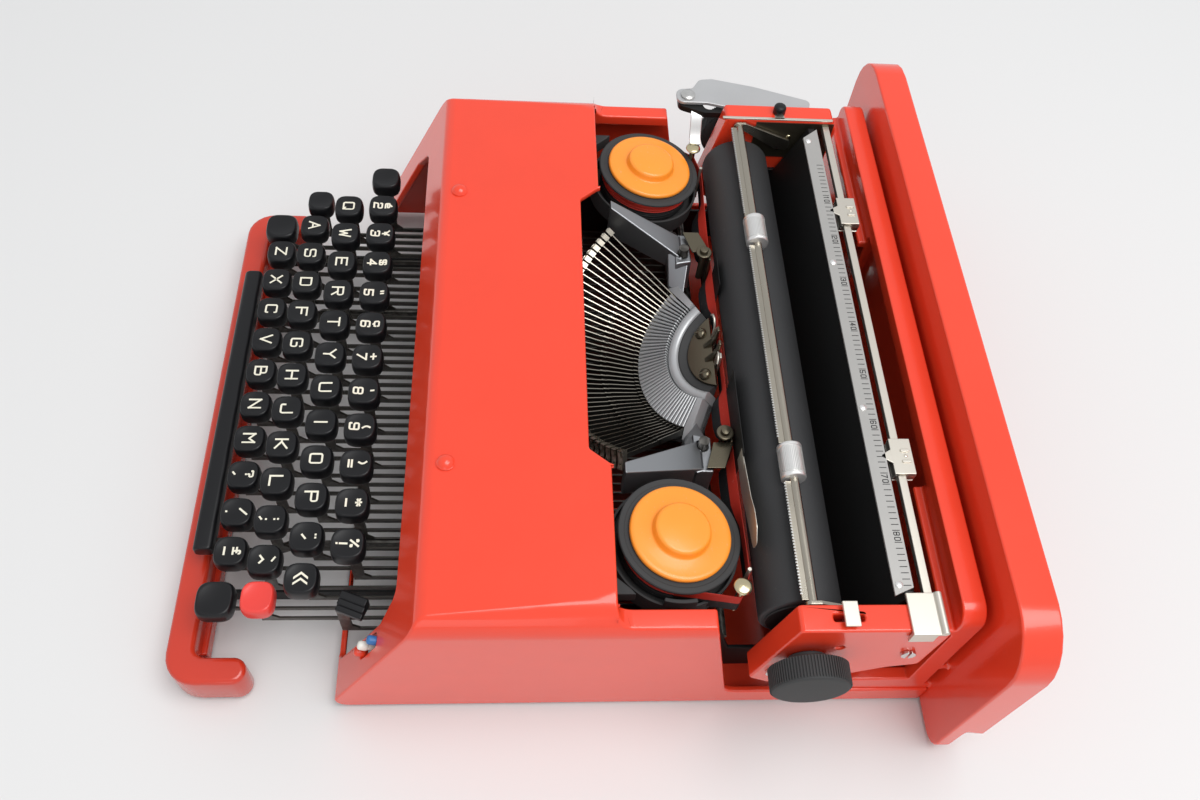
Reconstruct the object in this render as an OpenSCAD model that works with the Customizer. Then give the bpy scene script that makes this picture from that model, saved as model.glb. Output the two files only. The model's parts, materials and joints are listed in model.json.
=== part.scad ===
// Portable typewriter with a moulded hood, a carriage and a deep back plate.
// X points to the typist's right, Y away from the typist, Z up. The table is z = 0.

/* [Overall] */
// Distance from the front of the front bar to the rear of the back plate
overall_depth = 352; // [350:1:360]
// Width of the back plate
plate_width = 343; // [341:1:352]
// Height of the back plate
plate_height = 115; // [112:1:120]

/* [Hood] */
// Width of the hood
hood_width = 296.6; // [294:0.2:300]
// Wall thickness of the mouldings
hood_wall = 3; // [2.5:0.1:3.4]
// Height of the hood above its front edge
hood_front_height = 92.5; // [91:0.5:95]
// Height of the hood at its rear edge
hood_rear_height = 96; // [95:0.5:98]
// Radius of the long upper edges of the hood
hood_edge_radius = 15; // [12:1:18]
// Width of the keyboard opening
opening_width = 262; // [260:1:264]
// Height of the upper edge of the keyboard opening
opening_top = 70; // [69:0.5:72]
// Width of the cut-out over the type basket
basket_cut_width = 141; // [139:1:145]
// Height of the side arms beside the ribbon spools
arm_height = 88; // [86:0.5:90]
// Width of the side arms
arm_width = 10; // [8:0.5:11]
// Height of the low rear tray
tray_height = 15; // [12:0.5:18]

/* [Front bar] */
// Width of the front bar
bar_width = 268.5; // [266:0.5:270]
// Thickness of the front bar
bar_thickness = 12; // [10:0.5:12.5]
// Offset of the front bar and keyboard from the middle of the hood
bar_offset = 10.2; // [9:0.1:11]
// Height of the front bar
bar_height = 22; // [20:0.5:22.5]
// Length of the two returns of the front bar
bar_return = 35; // [30:1:40]

/* [Back plate] */
// Depth of the rim of the back plate
rim_depth = 16; // [14:0.5:17]
// Radius of the upper corners of the back plate
rim_radius = 24; // [18:1:28]
// Height of the ridge in front of the rim
ridge_height = 97; // [95:0.5:99]

/* [Keyboard] */
// Distance between neighbouring keys
key_pitch = 19; // [18.8:0.1:19.2]
// Width of a key cap
cap_width = 15; // [13:0.5:16]
// Thickness of a key cap
cap_height = 8; // [6:0.5:8]
// Travel of a key at its cap
key_travel = 12; // [8:0.5:12]
// Thickness of a key lever
lever_thickness = 1.2; // [1:0.1:1.6]
// Height of a key lever
lever_height = 7; // [5:0.5:8]
// Radius of the shaft that the levers turn on
fulcrum_radius = 2; // [1.5:0.1:2.4]
// Radial clearance of turning fits
fit = 0.05; // [0.02:0.01:0.08]

/* [Ribbon] */
// Distance between the two spool centres
spool_spacing = 209; // [207:1:211]
// Radius of the spool flanges
flange_radius = 26; // [24:0.5:26]
// Radius of the spool caps
spool_cap_radius = 21.5; // [18:0.5:23]
// Lean of the spools towards the carriage
spool_tilt = 7; // [5:0.5:9]
// Width of the ribbon
ribbon_width = 13; // [12:0.5:14]

/* [Carriage] */
// Distance between the inner faces of the end plates
carriage_span = 265.6; // [262:0.2:268]
// Offset of the carriage from the middle of the machine
carriage_offset = 10; // [8:0.5:10.5]
// Radius of the platen
platen_radius = 17; // [16.5:0.1:17.2]
// Radius of the platen shaft
platen_shaft_radius = 3; // [2.5:0.1:4]
// Radius of the platen knobs
knob_radius = 16; // [14:0.5:16.5]
// Height of the tops of the carriage end plates
carriage_top = 103; // [102:0.5:104]
// Distance between the ticks of the paper scale
scale_pitch = 2.61; // [2.5:0.01:2.65]

/* [Type basket] */
// Number of typebars
typebar_count = 44; // [30:1:44]
// Angle over which the typebars fan out
typebar_fan = 116; // [110:2:118]
// Radius of the circle through the typebar pivots
pivot_radius = 47; // [44:0.5:48]
// Drop of the type basket when a shift key is pressed
shift_drop = 6.5; // [5:0.5:7]

/* [Hidden] */
$fn = 48;
gap = 0.3;
press = 0.02;
eps = 0.01;
far = 400;
foot_height = 2;
red = "orangered";
steel = "silver";
blacked = "dimgray";

front_y = -overall_depth / 2;
rear_y = overall_depth / 2;
plate_half = plate_width / 2;
rim_front = rear_y - rim_depth;
hood_half = hood_width / 2;
arm_inner = hood_half - arm_width;
hood_front_bottom = front_y + 67;
hood_front_top = front_y + 112.5;
hood_slope = (hood_front_top - hood_front_bottom) / hood_front_height;
hood_rear = rear_y - 163.5;
basket_edge = hood_rear - 9;
arm_end = hood_rear + 39.6;
arm_foot = hood_rear + 54.6;
ridge_front = rim_front - 13;
ridge_rear = rim_front - 3;
deck_front = ridge_front - 4;
deck_height = 85;
deck_left_end = -56;
deck_right_start = 82;
ridge_half = hood_half - 1;
sill_top = 6;
frame_thickness = 1.6;
frame_outer = hood_half - 16.3;
frame_inner = frame_outer - frame_thickness;
front_arm = 98.7;
ledge_rear = front_y + bar_thickness + 2.4;
comb_y = hood_front_top - 5;
frame_top = 50;
frame_bottom = sill_top + 0.4;
rail_seat = 26;

fulcrum_y = rear_y - 116;
fulcrum_z = 24;
cap_gap = 0.05;
row_y = [for (d = [80, 61, 43, 26]) front_y + d];
row_z = [68, 59.5, 51.5, 43.5];
row_x = [-89.3, -96.6, -89.7, -78.3];
row_lever = [-3.1, -5.2, 2.1, 0.3];
row_count = [11, 11, 11, 10];
number = 0;
upper = 1;
home = 2;
lower = 3;
h_index = 5;

lock_slot = -106.6;
left_shift_slot = -97;
right_shift_slot = 112;
tab_slot = 116.6;
release_slot = -111.4;
set_slot = 121.4;
backspace_slot = row_x[upper] + row_lever[upper] + key_pitch * row_count[upper];
space_slots = [-52.1, 80.9];
space_front = front_y + 7.5;
space_rear = front_y + 16.2;
space_top = 37;
space_tab = front_y + bar_thickness + 0.6;
space_left = -70;
space_right = 89;
stem_width = 5;

spool_x = spool_spacing / 2;
spool_y = hood_rear + 28;
spool_z = 84;
spool_depth = 16.5;
post_radius = 3;
wound_radius = 19;

platen_y = rear_y - 88;
platen_z = 76.5;
print_y = platen_y - platen_radius;
ribbon_y = print_y - 1.4;
ribbon_bottom = 60;
guide_x = 52.5;
stem_rod_y = platen_y - 24;
stem_rod_radius = 1.8;

basket_guide_x = 56;
basket_guide_y = platen_y - 32;
basket_guide_radius = 2.4;
guide_foot = 36;
guide_top = 78;
stop_rod_y = front_y + 126;
stop_rod_z = 9;
tie_rod_y = ridge_front - 5;
tie_rod_z = 16;
tie_rod_radius = 3;
drum_pin_radius = 3;
segment_tilt = 36;
bar_lift = 49;
basket_y = print_y + 1;
basket_z = platen_z - 2;
bar_step = typebar_fan / (typebar_count - 1);
h_bar = floor(typebar_count / 2);

carriage_half = carriage_span / 2;
end_plate_thickness = 11;
end_front = platen_y - 18;
end_rear = platen_y + 50;
feed_radius = 6;
feed_shaft_radius = 2;
feed_z = platen_z - platen_radius - feed_radius - gap;
bail_radius = 2;
bail_roller_radius = 5.3;
bail_y = platen_y - 1;
bail_z = platen_z + platen_radius + bail_roller_radius + gap;
bail_pivot_y = platen_y + 24;
bail_pivot_z = 88;
bail_pin_radius = 1.5;
rail_front = platen_y + 18;
rail_rear = rail_front + 12;
rail_top = 36;
margin_front = platen_y + 43;
margin_rear = margin_front + 3.5;
margin_bottom = 97;
margin_top = 100;
drum_x = 100;
drum_z = 26;
drum_radius = 17;
drum_front = ridge_front - 17;
drum_rear = drum_front + 8.5;

function unit(v) = v / norm(v);
// Points of one outline corner b between a and c, rounded to radius r
function corner(a, b, c, r, steps = 6) =
  r == 0 ? [[b.x, b.y]] :
  let(u = unit([a.x - b.x, a.y - b.y]),
      v = unit([c.x - b.x, c.y - b.y]),
      half = acos(u * v) / 2,
      mid = [b.x, b.y] + unit(u + v) * r / sin(half),
      p = [b.x, b.y] + u * r / tan(half) - mid,
      q = [b.x, b.y] + v * r / tan(half) - mid,
      first = atan2(p.y, p.x),
      swing = atan2(q.y, q.x) - first,
      turn = swing > 180 ? swing - 360 : swing < -180 ? swing + 360 : swing)
  [for (i = [0:steps]) mid + r * [cos(first + turn * i / steps), sin(first + turn * i / steps)]];
// Outline whose corners are [x, y, radius]
function rounded(pts) = let(n = len(pts))
  [for (i = [0:n - 1]) each corner(pts[(i + n - 1) % n], pts[i], pts[(i + 1) % n], pts[i][2])];

// Extrude an outline drawn in Y and Z from x0 to x1
module along_x(x0, x1) translate([x0, 0, 0]) rotate([90, 0, 90]) linear_extrude(x1 - x0) children();
// Extrude an outline drawn in X and Z from y0 to y1
module along_y(y0, y1) translate([0, y1, 0]) rotate([90, 0, 0]) linear_extrude(y1 - y0) children();
// Extrude an outline drawn in X and Y from z0 to z1
module along_z(z0, z1) translate([0, 0, z0]) linear_extrude(z1 - z0) children();
module block(x0, x1, y0, y1, z0, z1) translate([x0, y0, z0]) cube([x1 - x0, y1 - y0, z1 - z0]);
module rod_x(x0, x1, y, z, r) translate([x0, y, z]) rotate([0, 90, 0]) cylinder(h = x1 - x0, r = r);
module rod_y(y0, y1, x, z, r) translate([x, y1, z]) rotate([90, 0, 0]) cylinder(h = y1 - y0, r = r);
module rod_z(z0, z1, x, y, r) translate([x, y, z0]) cylinder(h = z1 - z0, r = r);
module both_sides() {
  children();
  mirror([1, 0, 0]) children();
}

// Hood
// Outer form of the hood with its side arms and the sill behind them
module hood_form() intersection() {
  along_x(-hood_half, hood_half)
    polygon(rounded([[hood_front_bottom + hood_slope * foot_height, foot_height, 6],
      [hood_front_top, hood_front_height, 7], [hood_rear, hood_rear_height, 0],
        [hood_rear, arm_height, 7],
      [arm_end, arm_height, 0], [arm_foot, tray_height, 6], [rim_front, tray_height, 0],
      [rim_front, foot_height, 0]]));
  edge_form(0);
}
module edge_form(inset) {
  half = hood_half - inset;
  top = hood_rear_height - inset;
  along_y(-far, far) polygon(rounded([[-half, -far, 0], [-half, top, hood_edge_radius - inset],
    [half, top, hood_edge_radius - inset], [half, -far, 0]]));
}
// Space under the front part of the hood
module hood_inside() intersection() {
  lean = hood_wall * norm([1, hood_slope]);
  along_x(-hood_half, hood_half)
    polygon(rounded([[hood_front_bottom + lean - hood_slope, -1, 0],
      [hood_front_top + lean, hood_front_height - hood_wall, 7 - hood_wall],
      [hood_rear + eps, hood_rear_height - hood_wall, 0], [hood_rear + eps, -1, 0]]));
  edge_form(hood_wall);
}
// Space between the side arms and above the sill
module tray_inside() {
  inner = hood_half - hood_wall;
  floor_top = foot_height + hood_wall;
  block(-arm_inner, arm_inner, hood_rear, far, floor_top, far);
  block(-inner, inner, hood_rear, far, floor_top, arm_height - 6);
}
cheek_inner = 113;
notch_end = 130;
notch_bottom = 8.5;
module keyboard_opening() {
  half = opening_width / 2;
  along_y(-far, hood_front_top + 2)
    polygon(rounded([[-cheek_inner, sill_top, 0], [-cheek_inner, notch_bottom, 0],
      [-notch_end, notch_bottom, 5], [-half, 40, 0], [-half, 56, 5], [-half + 7, opening_top, 7],
      [half - 7, opening_top, 7], [half, 56, 5], [half, 40, 0], [notch_end, notch_bottom, 5],
      [cheek_inner, notch_bottom, 0], [cheek_inner, sill_top, 0]]));
}
module basket_opening() {
  half = basket_cut_width / 2;
  along_z(opening_top, far)
    polygon([[-half, basket_edge], [half, basket_edge], [half + 7.5, hood_rear - eps],
      [half + 7.5, far], [-half - 7.5, far], [-half - 7.5, hood_rear - eps]]);
}
selector_x = 137;
selector_z = 45;
selector_y = hood_front_bottom + hood_slope * selector_z;
selector_slot = 5;
selector_pin = 2.1;
selector_lean = atan(hood_slope);
module selector_frame() translate([selector_x, selector_y, selector_z]) rotate([-selector_lean, 0,
  0]) children();
module body_shell() color(red) difference() {
  hood_form();
  hood_inside();
  tray_inside();
  keyboard_opening();
  basket_opening();
  selector_frame() block(-selector_slot / 2, selector_slot / 2, -20, 20, -9, 9);
  both_sides() rod_z(0, far, bumper_x, bumper_y, bumper_pin_radius);
}
bumper_x = 76.5;
bumper_y = hood_front_top + 8;
bumper_pin_radius = 2;
bumper_z = hood_front_height + (hood_rear_height - hood_front_height) * (bumper_y - hood_front_top)
  / (hood_rear - hood_front_top);
module top_bumpers() color(red) both_sides() translate([bumper_x, bumper_y, bumper_z]) rotate_extrude()
  polygon([[0, -hood_wall], [bumper_pin_radius, -hood_wall], [bumper_pin_radius, 0.3], [4, 0.3],
    [3.4, 1.6],
    [2, 2.4], [0, 2.7]]);
module front_bar() color(red) translate([bar_offset, 0, 0]) {
  half = bar_width / 2;
  inner = half - bar_thickness;
  rear = front_y + bar_return;
  along_z(foot_height, bar_height)
    polygon(rounded([[-half, front_y, 14], [half, front_y, 14], [half, rear, 5.9], [inner, rear, 5.9],
      [inner, front_y + bar_thickness, 5], [-inner, front_y + bar_thickness, 5], [-inner, rear, 5.9],
      [-half, rear, 5.9]]));
  block(5 - inner, inner - 5, front_y + bar_thickness - 1, ledge_rear, foot_height, 10);
}
handle_half = 62;
handle_z = 94;
handle_y = rear_y - 5;
handle_bottom = 62;
handle_pin_radius = 2.5;
pocket_floor = rear_y - 11;
module back_plate() color(red) {
  difference() {
    along_y(rim_front, rear_y)
      polygon(rounded([[-plate_half, foot_height, 9], [plate_half, foot_height, 9],
        [plate_half, plate_height, rim_radius], [-plate_half, plate_height, rim_radius]]));
    block(-handle_half, handle_half, pocket_floor, far, handle_bottom - 4, handle_z + 6);
    both_sides() rod_x(handle_half - 1, handle_half + 4, handle_y, handle_z, handle_pin_radius + fit);
    both_sides() block(plate_half - 12, far, rear_y - 9, far, foot_height - 1, 26);
  }
  difference() {
    along_y(ridge_front, ridge_rear)
      polygon(rounded([[-ridge_half, tray_height, 0], [-ridge_half, ridge_height, 8],
        [ridge_half, ridge_height, 8],
        [ridge_half, tray_height, 0]]));
    block(deck_left_end, deck_right_start, 0, ridge_front + 4, 0, deck_height + 4);
  }
  block(-ridge_half, ridge_half, ridge_rear - 1, rim_front + 1, tray_height, tray_height + 5);
  block(-ridge_half, ridge_half, ridge_rear - 1, rim_front + 1, 40, 44);
  both_sides() block(ridge_half - 6, ridge_half, deck_front - 22, ridge_front + 1, tray_height,
    tray_height + 12);
  block(-ridge_half, deck_left_end, deck_front, ridge_front + 1, deck_height - 4, deck_height);
  block(deck_right_start, ridge_half, deck_front, ridge_front + 1, deck_height - 4, deck_height);
}
module carry_handle() color(blacked) {
  arm = handle_half - gap;
  along_y(handle_y - 4, handle_y + 4) polygon(rounded([[-arm, handle_z + 4, 3], [-arm, handle_bottom, 6],
    [arm, handle_bottom, 6], [arm, handle_z + 4, 3], [arm - 9, handle_z + 4, 3],
      [arm - 9, handle_bottom + 10, 5],
    [9 - arm, handle_bottom + 10, 5], [9 - arm, handle_z + 4, 3]]));
  both_sides() rod_x(arm - 1, handle_half + 3.5, handle_y, handle_z, handle_pin_radius);
}

// Frame inside the hood
module side_frames() color(blacked) both_sides() {
  block(front_arm, front_arm + frame_thickness, ledge_rear, comb_y - 2, frame_bottom, 15);
  difference() {
    along_x(frame_inner, frame_outer)
      polygon([[comb_y - 2, frame_bottom], [comb_y - 2, 44], [hood_front_top + 6, frame_top],
        [fulcrum_y, frame_top], [fulcrum_y + 8, rail_seat], [ridge_front, rail_seat],
        [ridge_front, foot_height + hood_wall], [hood_rear, foot_height + hood_wall],
        [hood_rear - 4, frame_bottom]]);
    rod_x(0, far, fulcrum_y, fulcrum_z, fulcrum_radius + fit);
  }
}
module cross_rods() color(steel) {
  rod_x(-frame_outer, frame_outer, fulcrum_y, fulcrum_z, fulcrum_radius);
  rod_x(-frame_inner, frame_inner, stop_rod_y, stop_rod_z, stem_rod_radius);
  rod_x(-frame_inner, frame_inner, stem_rod_y, guide_foot, stem_rod_radius);
  rod_x(-frame_inner, frame_inner, tie_rod_y, tie_rod_z, tie_rod_radius);
  block(-frame_inner, frame_inner, basket_guide_y - 2, basket_guide_y + 2, guide_foot - 4, guide_foot);
  both_sides() rod_z(guide_foot, guide_top, basket_guide_x, basket_guide_y, basket_guide_radius);
  rod_y(drum_front - 4, ridge_front, drum_x, drum_z, drum_pin_radius);
}
lever_slots = concat(
  [for (row = [number:lower]) for (k = [0:row_count[row] - 1]) row_x[row] + row_lever[row] + key_pitch * k
    ]
    ,
  [lock_slot, left_shift_slot, right_shift_slot, tab_slot, release_slot, set_slot, backspace_slot],
  space_slots);
comb_slot = lever_thickness + 0.8;
module key_comb() color(blacked) difference() {
  block(-frame_inner, frame_inner, comb_y - 2, comb_y + 2, 7, 44);
  for (x = lever_slots) block(x - comb_slot / 2, x + comb_slot / 2, -far, far, 9, far);
}
module spool_place() translate([spool_x, spool_y, spool_z]) rotate([-spool_tilt, 0, 0]) children();
cup_floor = -spool_depth - 1.5;
module spool_cups() color("black") both_sides() difference() {
  union() {
    spool_place() rotate_extrude() polygon([[0, cup_floor - 2], [flange_radius + 2, cup_floor - 2],
      [flange_radius + 2, cup_floor + 8], [flange_radius + 0.8, cup_floor + 8],
        [flange_radius + 0.8, cup_floor],
      [0, cup_floor]]);
    block(frame_inner - 3, frame_inner, spool_y - 12, spool_y + 12, frame_top - 12,
      spool_z + cup_floor - 2);
  }
  spool_place() translate([0, 0, cup_floor]) cylinder(h = 60, r = flange_radius + 0.8);
}
module spool_posts() color(steel) both_sides() spool_place()
  translate([0, 0, cup_floor]) cylinder(h = -cup_floor - 1, r = post_radius);
module spool() rotate_extrude() polygon([[post_radius + fit, -spool_depth], [flange_radius, -spool_depth],
  [flange_radius, 1.2 - spool_depth], [wound_radius, 1.2 - spool_depth], [wound_radius, -1.5],
  [flange_radius, -1.5], [flange_radius, 0], [post_radius + fit, 0]]);
module spool_cap() rotate_extrude() polygon([[0, cap_gap], [spool_cap_radius, cap_gap],
  [spool_cap_radius, 1.6],
  [spool_cap_radius - 1, 2.4], [12, 2.6], [11, 5.6], [10, 6.4], [0, 6.8]]);
module ribbon_spool_right() color("black") spool_place() spool();
module ribbon_spool_left() color("black") mirror([1, 0, 0]) spool_place() spool();
module spool_cap_right() color("orange") spool_place() spool_cap();
module spool_cap_left() color("orange") mirror([1, 0, 0]) spool_place() spool_cap();
module carriage_rail() color(steel) block(-frame_outer, frame_outer, rail_front, rail_rear, rail_seat,
  rail_top);
bell_x = -92;
bell_y = ridge_front - 20;
bell_radius = 11;
bell_wall = 1.2;
bell_post = 12;
module bell() color(steel) translate([bell_x, bell_y, foot_height + hood_wall]) {
  cylinder(h = bell_post + bell_radius - bell_wall / 2, r = 2.5);
  translate([0, 0, bell_post]) difference() {
    sphere(r = bell_radius);
    sphere(r = bell_radius - bell_wall);
    translate([0, 0, -bell_radius]) cylinder(h = bell_radius, r = 2 * bell_radius);
  }
}
foot_radius = 8;
front_foot_radius = 5;
module feet() color("black") {
  both_sides() for (y = [hood_rear + 11.5, rim_front - 10]) rod_z(0, foot_height, 128, y, foot_radius);
  for (x = [bar_offset - 115, bar_offset + 115])
    rod_z(0, foot_height, x, front_y + bar_thickness / 2, front_foot_radius);
}
module shell_screws() color(steel) both_sides() for (y = [hood_rear + 17.5,
  ridge_front - 17]) difference() {
  rod_z(foot_height + hood_wall, foot_height + hood_wall + 2, frame_outer + 7, y, 3.5);
  block(frame_outer + 3, frame_outer + 11, y - 0.5, y + 0.5, foot_height + hood_wall + 1, far);
}

// Keyboard
// Lever on the fulcrum shaft, with a stem set on it that carries a cap at y, z
module lever(slot, y, z) {
  difference() {
    along_x(slot - lever_thickness / 2, slot + lever_thickness / 2) {
      translate([y - stem_width / 2, fulcrum_z - lever_height / 2])
        square([fulcrum_y - y + stem_width / 2, lever_height]);
      translate([fulcrum_y, fulcrum_z]) circle(r = lever_height / 2 + 1);
    }
    rod_x(-far, far, fulcrum_y, fulcrum_z, fulcrum_radius + fit);
  }
  block(slot - lever_thickness / 2, slot + lever_thickness / 2, y - stem_width / 2, y + stem_width / 2,
    fulcrum_z + lever_height / 2 + cap_gap, z - cap_gap);
}
// Cap with rounded corners and a shallow dish, its top at z
module cap(x, y, z, wide, deep) difference() {
  union() {
    translate([x, y, 0]) along_z(z - cap_height, z - cap_height + 5)
      polygon(rounded([for (s = [[-1, -1], [1, -1], [1, 1],
        [-1, 1]]) [s.x * wide / 2, s.y * deep / 2, 4.5]]));
    translate([x, y, 0]) along_z(z - cap_height + 4.9, z)
      polygon(rounded([for (s = [[-1, -1], [1, -1], [1, 1],
        [-1, 1]]) [s.x * (wide / 2 - 1), s.y * (deep / 2 - 1), 4]]));
  }
  translate([x, y, z + 39.2]) sphere(r = 40, $fn = 64);
}
module key(x, y, z, slot, wide = cap_width, deep = cap_width) {
  cap(x, y, z, wide, deep);
  lever(slot, y, z - cap_height);
}
module row_key(row, k) {
  x = row_x[row] + key_pitch * k;
  key(x, row_y[row], row_z[row], x + row_lever[row]);
}
module key_row(row) for (k = [0:row_count[row] - 1]) if (row != home || k != h_index) row_key(row, k);
module number_keys() color("black") key_row(number);
module upper_keys() color("black") key_row(upper);
module home_keys() color("black") key_row(home);
module lower_keys() color("black") key_row(lower);
module key_h() color("black") row_key(home, h_index);
module backspace_key() color("black") row_key(upper, row_count[upper]);
module shift_keys() color("black") {
  key(-95.5, front_y + 24, 44, left_shift_slot, 17, 17);
  key(115, front_y + 23, 44, right_shift_slot, 18, 17);
}
module shift_lock_key() color("black") key(-105, front_y + 45, 54, lock_slot, 13, 13);
module tab_key() color("red") key(116.7, front_y + 42, 50, tab_slot, 15, 14);
module margin_release_key() color("black") key(-109, row_y[number], 68, release_slot);
module tab_set_key() color("black") {
  block(118, 127.5, front_y + 74, front_y + 84, 46, 51);
  lever(set_slot, front_y + 77, 46);
}
module space_arm(x) difference() {
  along_x(x - lever_thickness / 2, x + lever_thickness / 2) {
    polygon([[front_y + 15, 13], [front_y + 38, 13], [front_y + 50, fulcrum_z - lever_height / 2],
      [fulcrum_y, fulcrum_z - lever_height / 2],
      [fulcrum_y, fulcrum_z + lever_height / 2], [front_y + 48, fulcrum_z + lever_height / 2],
        [front_y + 36, 19.5],
        [front_y + 17.8, 19.5],
      [front_y + 17.8, space_top - 7 - cap_gap], [space_tab, space_top - 7 - cap_gap], [space_tab, 27],
        [front_y + 15, 27]]);
    translate([fulcrum_y, fulcrum_z]) circle(r = lever_height / 2 + 1);
  }
  rod_x(-far, far, fulcrum_y, fulcrum_z, fulcrum_radius + fit);
}
module space_bar() color("black") {
  along_x(space_left, space_right)
    polygon(rounded([[space_front, space_top - 7, 1], [space_front, space_top, 2],
      [space_rear, space_top, 2],
      [space_rear, space_top - 7, 1]]));
  for (x = space_slots) space_arm(x);
}
module colour_selector() color("white") selector_frame() {
  rod_y(-5, hood_wall + 3, 0, 0, selector_pin);
  translate([0, -5, 0]) sphere(r = 4);
  block(-7, 7, hood_wall + gap + 1, hood_wall + 3, -5, 5);
}

// Type basket
module basket_place() translate([0, basket_y, basket_z]) rotate([segment_tilt, 0, 0]) children();
module bar_place(i) basket_place() rotate([0, 0, bar_step * (i - (typebar_count - 1) / 2)])
  translate([0, -pivot_radius, 0]) rotate([-bar_lift, 0, 0]) children();
typebar_thickness = 0.9;
slug_width = 2.6;
typebar_eye = 2;
module typebar(i) bar_place(i) {
  block(-typebar_thickness / 2, typebar_thickness / 2, 1 - pivot_radius, 1, -1.5, 1.5);
  rod_x(-typebar_thickness / 2, typebar_thickness / 2, 0, 0, typebar_eye);
  block(-slug_width / 2, slug_width / 2, -pivot_radius, 4 - pivot_radius, -5.5, 3.5);
}
module typebars() color(steel) for (i = [0:typebar_count - 1]) if (i != h_bar) typebar(i);
module typebar_h() color(steel) typebar(h_bar);
segment_slot = 1.3;
slot_inner = 31;
segment_inner = 26;
segment_outer = 52;
module segment_sector(inner, outer) intersection() {
  difference() {
    circle(r = outer);
    circle(r = inner);
  }
  polygon([[0, 0], for (a = [-typebar_fan / 2 - 6:(typebar_fan + 12) / 8:typebar_fan / 2 + 6.1])
    2 * segment_outer * [sin(a), -cos(a)]]);
}
module basket_arm() intersection() {
  along_z(0, far) polygon([[53, basket_guide_y - 1], [68, basket_guide_y - 1], [78, spool_y - 21.5],
    [72.5, spool_y - 21.5]]);
  along_x(0, far) polygon([[spool_y - 22, 68], [spool_y - 22, 88], [basket_guide_y, 73],
    [basket_guide_y, 62]]);
}
module type_segment() color("gray") {
  difference() {
    union() {
      basket_place() along_z(-7, 3) segment_sector(slot_inner, segment_outer);
      basket_place() along_z(-7, 0.4) segment_sector(segment_inner, slot_inner + 1);
    }
    for (i = [0:typebar_count - 1]) bar_place(i) rotate([bar_lift, 0, 0])
      block(-segment_slot / 2, segment_slot / 2, -9, pivot_radius - slot_inner + 0.5, -3, far);
  }
  both_sides() difference() {
    union() {
      basket_arm();
      block(44, 69, basket_guide_y - 4, basket_guide_y + 4, 56, 73);
    }
    rod_z(0, far, basket_guide_x, basket_guide_y, basket_guide_radius + fit);
    basket_place() translate([0, 0, -far]) cylinder(h = 2 * far, r = segment_outer + 0.5);
  }
}
module type_guide() color("tan") {
  basket_place() along_z(-3, 0) intersection() {
    circle(r = segment_inner - gap);
    block_outline(-24, 24, -segment_inner, -9);
  }
  both_sides() basket_place() rod_z(0, 1.6, 14, -12, 2.2);
}
module block_outline(x0, x1, y0, y1) translate([x0, y0]) square([x1 - x0, y1 - y0]);

// Ribbon in front of the platen
ribbon_thickness = 0.3;
module ribbon() color("firebrick") block(-guide_x, guide_x, ribbon_y, ribbon_y + ribbon_thickness,
  ribbon_bottom,
  ribbon_bottom + ribbon_width);
module ribbon_vibrator() color(steel) {
  prong = 1.2;
  front = ribbon_y - gap - prong;
  stem = stem_rod_y + stem_rod_radius + gap;
  block(-3, 3, stem, stem + 1.4, 28, 46 - cap_gap);
  block(-9, 9, stem, front + prong, 46, 48);
  both_sides() block(6, 9, front, front + prong, 48 + cap_gap, ribbon_bottom + ribbon_width + 2);
}

// Carriage, drawn about its own middle
module carriage_place() translate([carriage_offset, 0, 0]) children();
module end_outline() polygon(rounded([[end_front, 51, 2], [end_front + 9, 45, 3], [platen_y + 12, 48, 6],
  [platen_y + 36, 62, 4],
  [end_rear - 1, 66, 3], [end_rear + 1, 97, 3], [end_rear - 2, carriage_top, 2],
    [end_front + 10, carriage_top, 2]]));
module end_plate() difference() {
  along_x(carriage_half, carriage_half + end_plate_thickness) end_outline();
  rod_x(0, far, platen_y, platen_z, platen_shaft_radius + fit);
  rod_x(0, carriage_half + 4, bail_pivot_y, bail_pivot_z, bail_pin_radius + fit);
}
module end_plate_right() color(red) carriage_place() difference() {
  end_plate();
  rod_x(0, far, release_y, release_z, release_pin_radius + fit);
  block(release_slot_x, release_slot_x + 2.6, release_y - 6, release_y + 6, release_z - 4, far);
}
module end_plate_left() color(red) carriage_place() difference() {
  mirror([1, 0, 0]) end_plate();
  rod_z(carriage_top - 6, far, -plate_middle, selector_knob_y, selector_pin_radius + fit);
}
flange_thickness = 2;
carriage_wall = platen_y + 38;
module carriage_frame() color(blacked) carriage_place() difference() {
  union() {
    block(-carriage_half, carriage_half, platen_y + 10, carriage_wall + 2, rail_top + gap, rail_top + 4);
    block(-carriage_half, carriage_half, rail_front - gap - 2.5, rail_front - gap, rail_top - 5,
      rail_top + 1);
    block(-carriage_half, carriage_half, rail_rear + gap, rail_rear + gap + 2.5, rail_top - 5,
      rail_top + 1);
    block(-carriage_half, carriage_half, carriage_wall, carriage_wall + 2, rail_top + gap, 96);
    both_sides() block(carriage_half - flange_thickness, carriage_half, platen_y - 8, carriage_wall + 2,
      rail_top + gap, 70);
    return_bracket();
  }
  rod_x(-far, far, platen_y, feed_z, feed_shaft_radius + fit);
  rod_z(0, far, -return_x, return_y, return_pin_radius + fit);
}
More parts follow.
